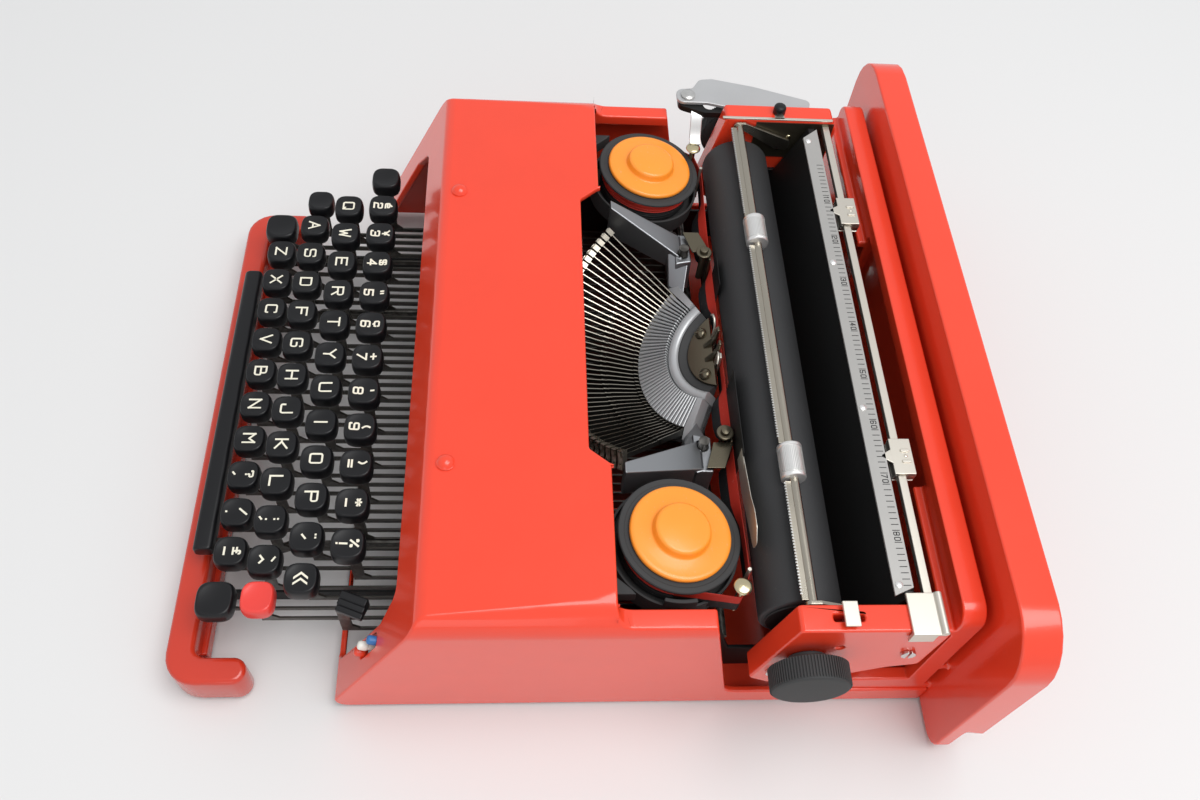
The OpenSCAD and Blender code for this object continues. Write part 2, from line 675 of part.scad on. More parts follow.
// Arm outside the left end plate that carries the return lever
module return_bracket() along_z(return_z - 3.5, return_z - 0.1)
  polygon(rounded([[-return_x - 5, return_y - 5, 4], [-return_x + 5, return_y - 5, 4],
    [-plate_outer, return_y + 8, 3], [-plate_outer, return_y + 30, 0],
    [-plate_outer - 2.5, return_y + 30, 0], [-plate_outer - 2.5, return_y + 9, 3],
      [-return_x - 5, return_y + 5, 4]]));
table_foot_y = platen_y + 19;
table_foot_z = 62;
table_top_y = carriage_wall - 3;
table_top_z = 100.4;
module paper_table() color("black") carriage_place() along_x(-carriage_half + 2.5, carriage_half - 2.5)
  polygon([[table_foot_y, table_foot_z], [table_top_y, table_top_z], [carriage_wall, table_top_z],
    [carriage_wall, table_top_z - 6],
    [table_foot_y + 2, table_foot_z]]);
scale_half = 129;
scale_front = platen_y + 31;
scale_thickness = 1.2;
scale_ticks = 87;
scale_zero = -105;
tick_width = 0.3;
module paper_scale() color("lightgray") carriage_place() difference() {
  block(-scale_half, scale_half, scale_front, scale_front + 8, table_top_z,
    table_top_z + scale_thickness);
  for (k = [0:scale_ticks]) translate([scale_zero + scale_pitch * k, 0, 0])
    block(-tick_width / 2, tick_width / 2, scale_front - 1,
      scale_front + (k % 10 == 0 ? 4 : k % 5 == 0 ? 3.2 : 2.4),
      table_top_z + scale_thickness - tick_width, far);
}
module margin_rail() color("tan") carriage_place()
  block(-carriage_half, carriage_half, margin_front, margin_rear, margin_bottom, margin_top);
stop_left_x = -71.7;
stop_right_x = 66.9;
module margin_stop(x) carriage_place() translate([x, 0, 0]) difference() {
  along_x(-8.5, 8.5) polygon([[margin_front - 1.6, margin_bottom - 1.6],
    [margin_rear + 4, margin_bottom - 1.6],
    [margin_rear + 4, margin_top + 1.6], [margin_front - 1.6, margin_top + 1.6]]);
  block(-far, far, margin_front - 0.1, margin_rear + 0.1, margin_bottom - 0.1, margin_top + 0.1);
}
module margin_stop_left() color(steel) margin_stop(stop_left_x);
module margin_stop_right() color(steel) margin_stop(stop_right_x);
module carriage_screws() color(steel) carriage_place() both_sides() for (p = [[platen_y - 10, 60],
  [platen_y + 40, 80]])
  difference() {
    rod_x(carriage_half + end_plate_thickness, carriage_half + end_plate_thickness + 1.5, p.x, p.y, 3);
    block(0, far, p.x - 0.5, p.x + 0.5, p.y - 4, p.y + 4);
  }
platen_half = carriage_half - 5;
knob_inner = carriage_half + end_plate_thickness + 4;
knob_length = 10;
module platen() color("black") carriage_place() difference() {
  rod_x(-platen_half, platen_half, platen_y, platen_z, platen_radius);
  rod_x(-far, far, platen_y, platen_z, platen_shaft_radius + press);
}
module platen_shaft() color(steel) carriage_place()
  rod_x(-knob_inner - 5, knob_inner + 5, platen_y, platen_z, platen_shaft_radius);
module knob() translate([knob_inner, platen_y, platen_z]) rotate([0, 90, 0]) difference() {
  union() {
    cylinder(h = knob_length, r = knob_radius);
    translate([0, 0, 0.1 - 3.9]) cylinder(h = 4, r = 8);
  }
  translate([0, 0, -8]) cylinder(h = 8 + 5.02, r = platen_shaft_radius + press);
}
module knob_right() color("black") carriage_place() knob();
module knob_left() color("black") carriage_place() mirror([1, 0, 0]) knob();
ratchet_teeth = 24;
ratchet_radius = 12;
module ratchet_wheel() color(steel) carriage_place() along_x(-platen_half - 3,
  -platen_half - 0.1) difference() {
  translate([platen_y, platen_z]) polygon([for (k = [0:ratchet_teeth - 1]) each [
    ratchet_radius * [cos(360 * k / ratchet_teeth), sin(360 * k / ratchet_teeth)],
    (ratchet_radius - 1.6) * [cos(360 * (k + 0.8) / ratchet_teeth),
      sin(360 * (k + 0.8) / ratchet_teeth)]]]);
  translate([platen_y, platen_z]) circle(r = platen_shaft_radius + press);
}
module feed_rollers() color("black") carriage_place() {
  rod_x(-carriage_half + 0.2, carriage_half - 0.2, platen_y, feed_z, feed_shaft_radius);
  for (x = [-80, 0, 80]) rod_x(x - 22, x + 22, platen_y, feed_z, feed_radius);
}
bail_half = carriage_half - 0.6;
module paper_bail() color(steel) carriage_place() {
  rod_x(-bail_half, bail_half, bail_y, bail_z, bail_radius);
  both_sides() along_x(bail_half - 1.6, bail_half) difference() {
    polygon(rounded([[bail_y - 3, bail_z - 2.5, 2], [bail_y - 3, bail_z + 2.5, 2],
      [bail_y + 3, bail_z + 2.5, 1],
      [bail_pivot_y + 3.5, bail_pivot_z + 3, 2], [bail_pivot_y + 3.5, bail_pivot_z - 3, 2],
      [bail_pivot_y - 3, bail_pivot_z - 3, 2], [bail_y + 3, bail_z - 2.5, 1]]));
    translate([bail_y, bail_z]) circle(r = bail_radius - 0.5);
  }
  both_sides() rod_x(bail_half - 1, carriage_half + 3.5, bail_pivot_y, bail_pivot_z, bail_pin_radius);
}
bail_left_x = -58.5;
bail_right_x = 69.1;
module bail_roller(x) carriage_place() difference() {
  rod_x(x - 8, x + 8, bail_y, bail_z, bail_roller_radius);
  rod_x(-far, far, bail_y, bail_z, bail_radius + fit);
}
module bail_roller_left() color(steel) bail_roller(bail_left_x);
module bail_roller_right() color(steel) bail_roller(bail_right_x);
plate_middle = carriage_half + end_plate_thickness / 2;
plate_outer = carriage_half + end_plate_thickness;
return_x = plate_middle + 15.7;
return_y = platen_y - 26;
return_z = 97;
return_pin_radius = 2.5;
module return_lever() color(steel) carriage_place() {
  rod_z(return_z - 7, return_z + 3, -return_x, return_y, return_pin_radius);
  along_z(return_z, return_z + 2)
    polygon(rounded([[-return_x + 5, return_y - 6, 4], [-return_x + 5, return_y + 10, 4],
      [-return_x + 8, return_y + 22, 3], [-return_x + 8, return_y + 64, 3],
      [-return_x + 1, return_y + 66, 3], [-return_x - 9, return_y + 36, 2],
      [-return_x - 14, return_y + 14, 4], [-return_x - 13, return_y + 7, 4],
        [-return_x - 6, return_y + 3, 3],
      [-return_x - 5, return_y - 6, 4]]));
}
selector_knob_y = platen_y + 20;
selector_pin_radius = 1.5;
module line_space_selector() color("black") carriage_place() {
  rod_z(carriage_top - 5, carriage_top + 1, -plate_middle, selector_knob_y, selector_pin_radius);
  rod_z(carriage_top + 0.1, carriage_top + 5, -plate_middle, selector_knob_y, 3.2);
}
release_y = platen_y + 11;
release_z = 86;
release_pin_radius = 1.5;
release_slot_x = carriage_half + 4;
module paper_release() color(steel) carriage_place() {
  rod_x(carriage_half + 1, carriage_half + 10, release_y, release_z, release_pin_radius);
  block(release_slot_x + gap, release_slot_x + 2.6 - gap, release_y - 1.5, release_y + 1.5, release_z - 2,
    carriage_top + 3);
  block(carriage_half, carriage_half + 10, release_y - 3, release_y + 3, carriage_top + 2.4,
    carriage_top + 3.6);
}
latch_y = platen_y + 48;
latch_radius = 1.5;
latch_z = carriage_top + latch_radius + 0.1;
module carriage_release() color(steel) carriage_place() {
  rod_x(carriage_half - 4, carriage_half + 13, latch_y - 1.6, latch_z, latch_radius);
  block(carriage_half - 4, carriage_half + 13, latch_y - 14, latch_y - 1.6, carriage_top + 0.1,
    carriage_top + 1.5);
  block(carriage_half + 11.4, carriage_half + 13, latch_y - 14, latch_y - 4, carriage_top - 6,
    carriage_top + 1.5);
}
module spring_drum() color("black") difference() {
  rod_y(drum_front, drum_rear, drum_x, drum_z, drum_radius);
  rod_y(0, far, drum_x, drum_z, drum_pin_radius + fit);
}

body_shell();
front_bar();
back_plate();
carry_handle();
side_frames();
cross_rods();
key_comb();
spool_cups();
spool_posts();
carriage_rail();
bell();
feet();
shell_screws();
top_bumpers();
type_segment();
typebars();
type_guide();
typebar_h();
key_h();
number_keys();
upper_keys();
home_keys();
lower_keys();
shift_keys();
shift_lock_key();
space_bar();
backspace_key();
tab_key();
margin_release_key();
tab_set_key();
colour_selector();
ribbon_spool_left();
ribbon_spool_right();
spool_cap_left();
spool_cap_right();
ribbon();
ribbon_vibrator();
carriage_frame();
end_plate_left();
end_plate_right();
paper_table();
paper_scale();
margin_rail();
carriage_screws();
platen();
platen_shaft();
knob_left();
knob_right();
ratchet_wheel();
feed_rollers();
paper_bail();
bail_roller_left();
bail_roller_right();
margin_stop_left();
margin_stop_right();
return_lever();
line_space_selector();
paper_release();
carriage_release();
spring_drum();
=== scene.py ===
"""Looks of a portable typewriter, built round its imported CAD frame.

Lengths in the classes are millimetres in the CAD frame: X to the typist's right, Y away from the typist,
Z up from the table. They become metres where a mesh is made.
"""
import json
import logging
import math
from collections.abc import Callable
from dataclasses import dataclass, field
from enum import Enum

import bmesh
import bpy
from mathutils import Matrix, Vector


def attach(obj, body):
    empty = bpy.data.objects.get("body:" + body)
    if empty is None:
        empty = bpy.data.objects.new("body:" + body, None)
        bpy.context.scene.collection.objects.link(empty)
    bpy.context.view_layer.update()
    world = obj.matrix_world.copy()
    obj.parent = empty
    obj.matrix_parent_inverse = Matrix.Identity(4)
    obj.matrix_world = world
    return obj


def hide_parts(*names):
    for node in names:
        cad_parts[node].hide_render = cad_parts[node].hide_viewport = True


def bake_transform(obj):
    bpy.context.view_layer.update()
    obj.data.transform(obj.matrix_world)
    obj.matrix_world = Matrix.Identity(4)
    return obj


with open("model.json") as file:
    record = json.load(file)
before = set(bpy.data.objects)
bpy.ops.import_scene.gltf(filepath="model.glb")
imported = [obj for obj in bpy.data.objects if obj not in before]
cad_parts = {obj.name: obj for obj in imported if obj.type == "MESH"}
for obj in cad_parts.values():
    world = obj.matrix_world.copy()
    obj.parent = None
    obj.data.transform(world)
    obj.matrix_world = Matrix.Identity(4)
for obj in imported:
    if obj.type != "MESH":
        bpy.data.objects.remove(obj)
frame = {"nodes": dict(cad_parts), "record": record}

LOG = logging.getLogger("typewriter")
MM = 0.001
Point = tuple[float, float, float]
Flat = tuple[float, float]
Colour = tuple[float, float, float]
Tree = bpy.types.NodeTree
Node = bpy.types.Node
Socket = bpy.types.NodeSocket
Mesh = bpy.types.Mesh
Piece = bpy.types.Object


class Surface(Enum):
    """How the top layer of a finish is worked."""

    MOULDED = "moulded"
    BRUSHED = "brushed"
    CAST = "cast"
    RUBBED = "rubbed"
    WOVEN = "woven"
    PRINTED = "printed"


class Side(Enum):
    """A side of the machine; its value is the sign of X there."""

    LEFT = -1
    RIGHT = 1

    @property
    def label(self) -> str:
        """Return the side as it stands in the names of pieces."""
        return self.name.lower()


class Axis(Enum):
    """An axis of the CAD frame."""

    X = 0
    Y = 1
    Z = 2


def set_inputs(node: Node, values: dict[str, object]) -> Node:
    """Set inputs of a node.

    Args:
        node: The node.
        values: Values of its inputs by name.

    Returns:
        The same node.
    """
    for key, value in values.items():
        node.inputs[key].default_value = value
    return node


def add_node(tree: Tree, kind: str, values: dict[str, object]) -> Node:
    """Return a new node of a tree, its inputs set by name."""
    return set_inputs(tree.nodes.new(kind), values)


def wire(tree: Tree, *links: tuple[Socket, Socket]) -> None:
    """Link outputs to inputs, given in pairs."""
    for source, target in links:
        tree.links.new(source, target)


def new_tree(name: str, kind: str, inputs: dict[str, str], outputs: dict[str, str]) -> Tree:
    """Start a node group.

    Args:
        name: Name of the group.
        kind: Type of its tree.
        inputs: Kinds of its inputs by name.
        outputs: Kinds of its outputs by name.

    Returns:
        The tree, holding its input and output nodes.
    """
    tree = bpy.data.node_groups.new(name, kind)
    for way, sockets in (("INPUT", inputs), ("OUTPUT", outputs)):
        for key, socket in sockets.items():
            tree.interface.new_socket(name=key, in_out=way, socket_type="NodeSocket" + socket)
    tree.nodes.new("NodeGroupInput").name = "in"
    tree.nodes.new("NodeGroupOutput").name = "out"
    return tree


class ShaderGroups:
    """The shader node groups that several finishes share, each made once."""

    def __init__(self) -> None:
        """Build every group."""
        self.smudges = self._smudges()
        self.grain = self._grain()
        self.brushing = self._brushing()
        self.edge_wear = self._edge_wear()

    @staticmethod
    def _group(name: str, inputs: dict[str, float], outputs: tuple[str, ...]) -> Tree:
        """Start a group that takes a vector and some values.

        Args:
            name: Name of the group.
            inputs: Names of the value inputs with their defaults.
            outputs: Names of the value outputs.

        Returns:
            The tree.
        """
        tree = new_tree(name, "ShaderNodeTree", {"Vector": "Vector", **dict.fromkeys(inputs, "Float")},
                        dict.fromkeys(outputs, "Float"))
        for key, value in inputs.items():
            tree.interface.items_tree[key].default_value = value
        return tree

    @staticmethod
    def _noise(tree: Tree, detail: float, roughness: float) -> Node:
        """Return a noise texture with that detail and roughness."""
        return add_node(tree, "ShaderNodeTexNoise", {"Detail": detail, "Roughness": roughness})

    @staticmethod
    def _ramp(tree: Tree, low: float, high: float) -> Node:
        """Return a clamped map from low..high to 0..1."""
        return add_node(tree, "ShaderNodeMapRange", {"From Min": low, "From Max": high})

    def _smudges(self) -> Tree:
        """Make the group of handling marks: broad clouds with small specks of dust.

        Returns:
            The group.
        """
        tree = self._group("smudges", {"Scale": 30.0, "Specks": 900.0}, ("Cloud", "Speck"))
        link, nodes = tree.links.new, tree.nodes
        cloud, speck = self._noise(tree, 5.0, 0.6), self._noise(tree, 2.0, 0.5)
        cloud_ramp, speck_ramp = self._ramp(tree, 0.35, 0.68), self._ramp(tree, 0.68, 0.76)
        for noise, key, ramp, out in ((cloud, "Scale", cloud_ramp, "Cloud"), (speck, "Specks", speck_ramp, "Speck")):
            link(nodes["in"].outputs["Vector"], noise.inputs["Vector"])
            link(nodes["in"].outputs[key], noise.inputs["Scale"])
            link(noise.outputs["Fac"], ramp.inputs["Value"])
            link(ramp.outputs["Result"], nodes["out"].inputs[out])
        return tree

    def _grain(self) -> Tree:
        """Make the group of fine surface grain.

        Returns:
            The group.
        """
        tree = self._group("grain", {"Scale": 1500.0}, ("Height",))
        noise, given = self._noise(tree, 3.0, 0.55), tree.nodes["in"].outputs
        wire(tree, (given["Vector"], noise.inputs["Vector"]), (given["Scale"], noise.inputs["Scale"]),
             (noise.outputs["Fac"], tree.nodes["out"].inputs["Height"]))
        return tree

    def _brushing(self) -> Tree:
        """Make the group of fine lines that brushing leaves along X.

        Returns:
            The group.
        """
        tree = self._group("brushing", {"Scale": 400.0}, ("Line",))
        mapping = add_node(tree, "ShaderNodeMapping", {"Scale": (0.03, 1.0, 1.0)})
        noise, given = self._noise(tree, 4.0, 0.65), tree.nodes["in"].outputs
        wire(tree, (given["Vector"], mapping.inputs["Vector"]), (mapping.outputs["Vector"], noise.inputs["Vector"]),
             (given["Scale"], noise.inputs["Scale"]), (noise.outputs["Fac"], tree.nodes["out"].inputs["Line"]))
        return tree

    def _edge_wear(self) -> Tree:
        """Make the group of edge marks: convex edges, broken up by noise; wear on bright metal, and partly a painted
        highlight on the dark levers.

        Returns:
            The group.
        """
        tree = self._group("edge_wear", {"Low": 0.53, "High": 0.62, "Scale": 250.0}, ("Mask",))
        nodes, given = tree.nodes, tree.nodes["in"].outputs
        geometry, noise = nodes.new("ShaderNodeNewGeometry"), self._noise(tree, 4.0, 0.6)
        ramp, patchy = nodes.new("ShaderNodeMapRange"), self._ramp(tree, 0.4, 0.62)
        product = nodes.new("ShaderNodeMath")
        product.operation = "MULTIPLY"
        wire(tree, (given["Vector"], noise.inputs["Vector"]), (given["Scale"], noise.inputs["Scale"]),
             (geometry.outputs["Pointiness"], ramp.inputs["Value"]), (given["Low"], ramp.inputs["From Min"]),
             (given["High"], ramp.inputs["From Max"]), (noise.outputs["Fac"], patchy.inputs["Value"]),
             (ramp.outputs["Result"], product.inputs[0]), (patchy.outputs["Result"], product.inputs[1]),
             (product.outputs["Value"], nodes["out"].inputs["Mask"]))
        return tree


GROUPS = ShaderGroups()
COAT_ROUGHNESS = 0.05
BUMP_STRENGTH = 0.6
DUST: Colour = (0.62, 0.60, 0.56)
DUST_GAIN = 8


@dataclass(frozen=True)
class Finish:
    """A finish of the machine: its colour, gloss, wear and grain; a few are darker copies that carry painted shade.

    Attributes:
        name: Name of the material.
        colour: Base colour.
        surface: How the top layer is worked.
        roughness: Roughness of clean and of handled places.
        slot: The record's material slot; not used.
        metallic: 1 for bare metal.
        coat: Weight of a clear gloss layer.
        grain: Scale of the grain, in cycles per metre.
        bump: Height of the grain in millimetres.
        wear: How much of the edge colour shows at convex edges.
        worn: Colour that shows at rubbed edges, and on the dark levers a painted highlight along them.
        dust: How much pale dust shows.
        specular: Strength of the reflection of a finish that isn't metal.
        cloud: How much the colour goes up and down over the surface.
    """

    name: str
    colour: Colour
    surface: Surface
    roughness: tuple[float, float]
    slot: str
    metallic: float = 0.0
    coat: float = 0.0
    grain: float = 1500.0
    bump: float = 0.01
    wear: float = 0.0
    worn: Colour = (0.0, 0.0, 0.0)
    dust: float = 0.0
    specular: float = 0.5
    cloud: float = 0.02

    def material(self) -> bpy.types.Material:
        """Return the material of this finish, built on first use."""
        return bpy.data.materials.get(self.name) or self._build()

    def _build(self) -> bpy.types.Material:
        """Build the node tree of the material.

        Returns:
            The material.
        """
        mat = bpy.data.materials.new(self.name)
        mat.use_nodes = True
        mat.diffuse_color = (*self.colour, 1.0)
        tree = mat.node_tree
        shader = set_inputs(tree.nodes["Principled BSDF"], {
            "Metallic": self.metallic, "Coat Weight": self.coat, "Specular IOR Level": self.specular,
            "Coat Roughness": COAT_ROUGHNESS})
        place = tree.nodes.new("ShaderNodeTexCoord").outputs["Object"]
        marks = self._place(tree, GROUPS.smudges, place)
        height = self._height(tree, place)
        tone = self._blend(tree, self._shade(1 - self.cloud), self._shade(1 + self.cloud), marks.outputs["Cloud"])
        if self.dust:
            tone = self._blend(tree, tone, DUST, self._scaled(tree, marks.outputs["Speck"], self.dust * DUST_GAIN))
        if self.wear:
            wear = self._place(tree, GROUPS.edge_wear, place)
            tone = self._blend(tree, tone, self.worn, self._scaled(tree, wear.outputs["Mask"], self.wear))
        clean, handled = self.roughness
        gloss = add_node(tree, "ShaderNodeMapRange", {"To Min": clean, "To Max": handled})
        bump = add_node(tree, "ShaderNodeBump", {"Strength": BUMP_STRENGTH, "Distance": self.bump * MM})
        wire(tree, (tone, shader.inputs["Base Color"]), (marks.outputs["Cloud"], gloss.inputs["Value"]),
             (gloss.outputs["Result"], shader.inputs["Roughness"]), (height, bump.inputs["Height"]),
             (bump.outputs["Normal"], shader.inputs["Normal"]))
        return mat

    def _shade(self, factor: float) -> Colour:
        """Return the base colour made lighter or darker."""
        return tuple(min(1.0, c * factor) for c in self.colour)

    @staticmethod
    def _place(tree: Tree, group: Tree, place: Socket) -> Node:
        """Add a node of a shared group.

        Args:
            tree: The node tree.
            group: The shared group.
            place: Place on the surface.

        Returns:
            The group node.
        """
        node = tree.nodes.new("ShaderNodeGroup")
        node.node_tree = group
        tree.links.new(place, node.inputs["Vector"])
        return node

    @staticmethod
    def _scaled(tree: Tree, mask: Socket, factor: float) -> Socket:
        """Multiply a mask by a number.

        Args:
            tree: The node tree.
            mask: The mask.
            factor: The number.

        Returns:
            The scaled mask.
        """
        node = tree.nodes.new("ShaderNodeMath")
        node.operation = "MULTIPLY"
        node.use_clamp = True
        node.inputs[1].default_value = factor
        tree.links.new(mask, node.inputs[0])
        return node.outputs["Value"]

    @staticmethod
    def _blend(tree: Tree, low: Colour | Socket, high: Colour, mask: Socket) -> Socket:
        """Mix two colours by a mask.

        Args:
            tree: The node tree.
            low: Colour where the mask is 0.
            high: Colour where it is 1.
            mask: The mask.

        Returns:
            The mixed colour.
        """
        node = tree.nodes.new("ShaderNodeMix")
        node.data_type = "RGBA"
        a, b = node.inputs[6], node.inputs[7]
        if isinstance(low, tuple):
            a.default_value = (*low, 1.0)
        else:
            tree.links.new(low, a)
        b.default_value = (*high, 1.0)
        tree.links.new(mask, node.inputs[0])
        return node.outputs[2]

    def _height(self, tree: Tree, place: Socket) -> Socket:
        """Add the surface detail of this finish.

        Args:
            tree: The node tree.
            place: Place on the surface.

        Returns:
            The height of the detail.
        """
        if self.surface is Surface.WOVEN:
            node, out = tree.nodes.new("ShaderNodeTexWave"), "Fac"
            tree.links.new(place, node.inputs["Vector"])
        elif self.surface is Surface.BRUSHED:
            node, out = self._place(tree, GROUPS.brushing, place), "Line"
        else:
            node, out = self._place(tree, GROUPS.grain, place), "Height"
        node.inputs["Scale"].default_value = self.grain
        return node.outputs[out]


RED = Finish("red_moulding", (0.80, 0.052, 0.019), Surface.MOULDED, (0.20, 0.24), "red_plastic",
             coat=0.3, grain=900, bump=0.003)
# Painted shade: the front bar is the same red moulding as the hood, made darker to stand for the lesser light on it.
RED_BAR_PAINTED_SHADE = Finish("red_bar", (0.55, 0.034, 0.013), Surface.MOULDED, (0.20, 0.24), "red_plastic",
                 coat=0.3, grain=900, bump=0.003)
RED_KEY = Finish("red_key", (0.74, 0.02, 0.012), Surface.MOULDED, (0.18, 0.24), "red_key", coat=0.3)
BLACK_KEY = Finish("black_key", (0.006, 0.006, 0.007), Surface.MOULDED, (0.34, 0.40), "black_plastic",
                   bump=0.003, specular=0.32)
BLACK_SATIN = Finish("black_satin", (0.010, 0.010, 0.011), Surface.CAST, (0.38, 0.46), "black_satin", bump=0.006)
ORANGE = Finish("orange_cap", (0.95, 0.30, 0.026), Surface.MOULDED, (0.26, 0.36), "orange_plastic",
                coat=0.12, bump=0.006, dust=0.02)
IVORY = Finish("ivory_knob", (0.82, 0.8, 0.72), Surface.MOULDED, (0.25, 0.35), "white_plastic", dust=0.02)
BLUE = Finish("blue_mark", (0.03, 0.16, 0.42), Surface.MOULDED, (0.3, 0.4), "white_plastic", dust=0.02)
LACQUER = Finish("black_lacquer", (0.006, 0.006, 0.006), Surface.CAST, (0.48, 0.5), "blacked_steel",
                 bump=0.002, specular=0.3)
STEEL = Finish("bright_steel", (0.62, 0.61, 0.59), Surface.BRUSHED, (0.2, 0.34), "steel",
               metallic=1.0, bump=0.006, worn=(0.8, 0.8, 0.78), wear=0.4, dust=0.01)
GREY_LEVER = Finish("grey_lever", (0.50, 0.50, 0.50), Surface.CAST, (0.34, 0.42), "steel", metallic=0.5, bump=0.004)
NICKEL = Finish("nickel", (0.53, 0.48, 0.40), Surface.BRUSHED, (0.16, 0.28), "nickel",
                metallic=1.0, bump=0.004, worn=(0.7, 0.66, 0.58), wear=0.4, dust=0.01)
# Painted highlight: the light edge colour on these dark levers stands partly for wear and partly for the light their
# top edges catch.
LEVER = Finish("dark_lever", (0.062, 0.057, 0.05), Surface.CAST, (0.32, 0.42), "black_plastic",
               metallic=0.7, bump=0.006, worn=(0.5, 0.48, 0.44), wear=0.5)
BRONZE = Finish("bronze_plate", (0.155, 0.135, 0.095), Surface.BRUSHED, (0.25, 0.36), "nickel",
                metallic=0.9, bump=0.004)
TYPE_STEEL = Finish("type_steel", (0.42, 0.385, 0.32), Surface.BRUSHED, (0.22, 0.32), "nickel",
                    metallic=1.0, bump=0.003)
# Painted shade: the typebars' sides, much darker than the nickel of their top edges though both are the same steel.
TYPEBAR_PAINTED_SHADE = Finish("dark_steel", (0.05, 0.047, 0.042), Surface.BRUSHED, (0.3, 0.4), "steel",
                    metallic=0.9, bump=0.003)
CASTING = Finish("grey_casting", (0.47, 0.465, 0.44), Surface.CAST, (0.42, 0.5), "grey_casting",
                 metallic=0.3, grain=2600, bump=0.01)
BRIGHT_CAST = Finish("bright_casting", (0.47, 0.475, 0.48), Surface.CAST, (0.36, 0.42), "grey_casting",
                     metallic=0.45, grain=2600, bump=0.008)
ALUMINIUM = Finish("satin_aluminium", (0.80, 0.79, 0.77), Surface.BRUSHED, (0.3, 0.38), "steel",
                   metallic=0.8, bump=0.003, worn=(0.9, 0.9, 0.88), wear=0.2)
BRASS = Finish("brass_head", (0.62, 0.54, 0.34), Surface.BRUSHED, (0.2, 0.28), "nickel", metallic=1.0, bump=0.003)
RULER = Finish("grey_ruler", (0.42, 0.41, 0.39), Surface.BRUSHED, (0.36, 0.42), "grey_casting",
               metallic=0.5, bump=0.003)
RUBBER = Finish("platen_rubber", (0.022, 0.022, 0.023), Surface.RUBBED, (0.58, 0.66), "rubber",
                grain=2200, bump=0.01, dust=0.003)
INKED = Finish("black_ribbon", (0.008, 0.008, 0.009), Surface.WOVEN, (0.6, 0.75), "ribbon_fabric",
               grain=900, bump=0.02, dust=0.02)
INKED_RED = Finish("red_ribbon", (0.60, 0.03, 0.014), Surface.WOVEN, (0.6, 0.75), "ribbon_fabric",
                   grain=900, bump=0.02, dust=0.02)
LEGEND = Finish("cream_legend", (0.80, 0.76, 0.62), Surface.PRINTED, (0.4, 0.5), "white_plastic", bump=0.002)
TICK = Finish("black_print", (0.01, 0.01, 0.01), Surface.PRINTED, (0.5, 0.6), "black_satin", bump=0.002)

BODY_OF = {node: body for body, nodes in frame["record"]["behaviour"]["bodies"].items() for node in nodes}
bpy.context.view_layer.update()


def rounded(points: list[Point], steps: int = 6) -> list[Flat]:
    """Round the corners of an outline.

    Args:
        points: Corners as x, y and radius.
        steps: Number of straight pieces in each round corner.

    Returns:
        The points of the outline.
    """
    outline: list[Flat] = []
    for i, (x, y, r) in enumerate(points):
        here = Vector((x, y))
        if r <= 0:
            outline.append((x, y))
            continue
        u = (Vector(points[i - 1][:2]) - here).normalized()
        v = (Vector(points[(i + 1) % len(points)][:2]) - here).normalized()
        half = u.angle(v) / 2
        centre = here + (u + v).normalized() * r / math.sin(half)
        first = here + u * r / math.tan(half) - centre
        last = here + v * r / math.tan(half) - centre
        turn = math.atan2(first.x * last.y - first.y * last.x, first.dot(last))
        for k in range(steps + 1):
            a = math.atan2(first.y, first.x) + turn * k / steps
            outline.append((centre.x + r * math.cos(a), centre.y + r * math.sin(a)))
    return outline


def squircle(half_x: float, half_y: float, power: float, count: int = 40) -> list[Flat]:
    """Draw a rounded square.

    Args:
        half_x: Half its width.
        half_y: Half its depth.
        power: A higher power has squarer corners.
        count: Number of points.

    Returns:
        The points of the outline.
    """
    points = []
    for k in range(count):
        a = 2 * math.pi * k / count
        c, s = math.cos(a), math.sin(a)
        points.append((half_x * math.copysign(abs(c) ** (2 / power), c),
                       half_y * math.copysign(abs(s) ** (2 / power), s)))
    return points


def arc(centre: Flat, radius: float, first: float, last: float, steps: int = 12) -> list[Flat]:
    """Return points on an arc between two angles in degrees."""
    angles = [math.radians(first + (last - first) * k / steps) for k in range(steps + 1)]
    return [(centre[0] + radius * math.cos(a), centre[1] + radius * math.sin(a)) for a in angles]


def moved(x: float, y: float, z: float) -> Matrix:
    """Return a shift in millimetres."""
    return Matrix.Translation((x, y, z))


def turned(axis: Axis, degrees: float) -> Matrix:
    """Return a turn about an axis through the origin."""
    return Matrix.Rotation(math.radians(degrees), 4, axis.name)


def heading(points: list[Vector], i: int) -> Vector:
    """Return the direction of a path at one of its points."""
    return (points[min(i + 1, len(points) - 1)] - points[max(i - 1, 0)]).normalized()


UPRIGHT = Matrix()
TO_X = turned(Axis.Y, 90)


def placed(name: str, data: bpy.types.ID) -> Piece:
    """Put an object into the scene.

    Args:
        name: Name of the object.
        data: Its data.

    Returns:
        The object.
    """
    obj = bpy.data.objects.new(name, data)
    bpy.context.scene.collection.objects.link(obj)
    return obj


def finish_object(mesh: Mesh, name: str, body: str, replaces: tuple[str, ...] = ()) -> Piece:
    """Put a finished mesh into the scene as a piece.

    Args:
        mesh: The mesh in metres, with its material.
        name: Name of the piece.
        body: CAD body that it moves with.
        replaces: CAD nodes that it stands for.

    Returns:
        The piece.
    """
    mesh.name = name
    obj = placed(name, mesh)
    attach(obj, body)
    if replaces:
        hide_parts(*replaces)
    LOG.info("%s: %d faces on %s", name, len(mesh.polygons), body)
    return obj


def evaluated_mesh(obj: Piece) -> Mesh:
    """Apply the modifiers of an object and remove the object.

    Args:
        obj: The object.

    Returns:
        The plain mesh.
    """
    graph = bpy.context.evaluated_depsgraph_get()
    mesh = bpy.data.meshes.new_from_object(obj.evaluated_get(graph))
    obj.modifiers.clear()
    bpy.data.objects.remove(obj)
    return mesh


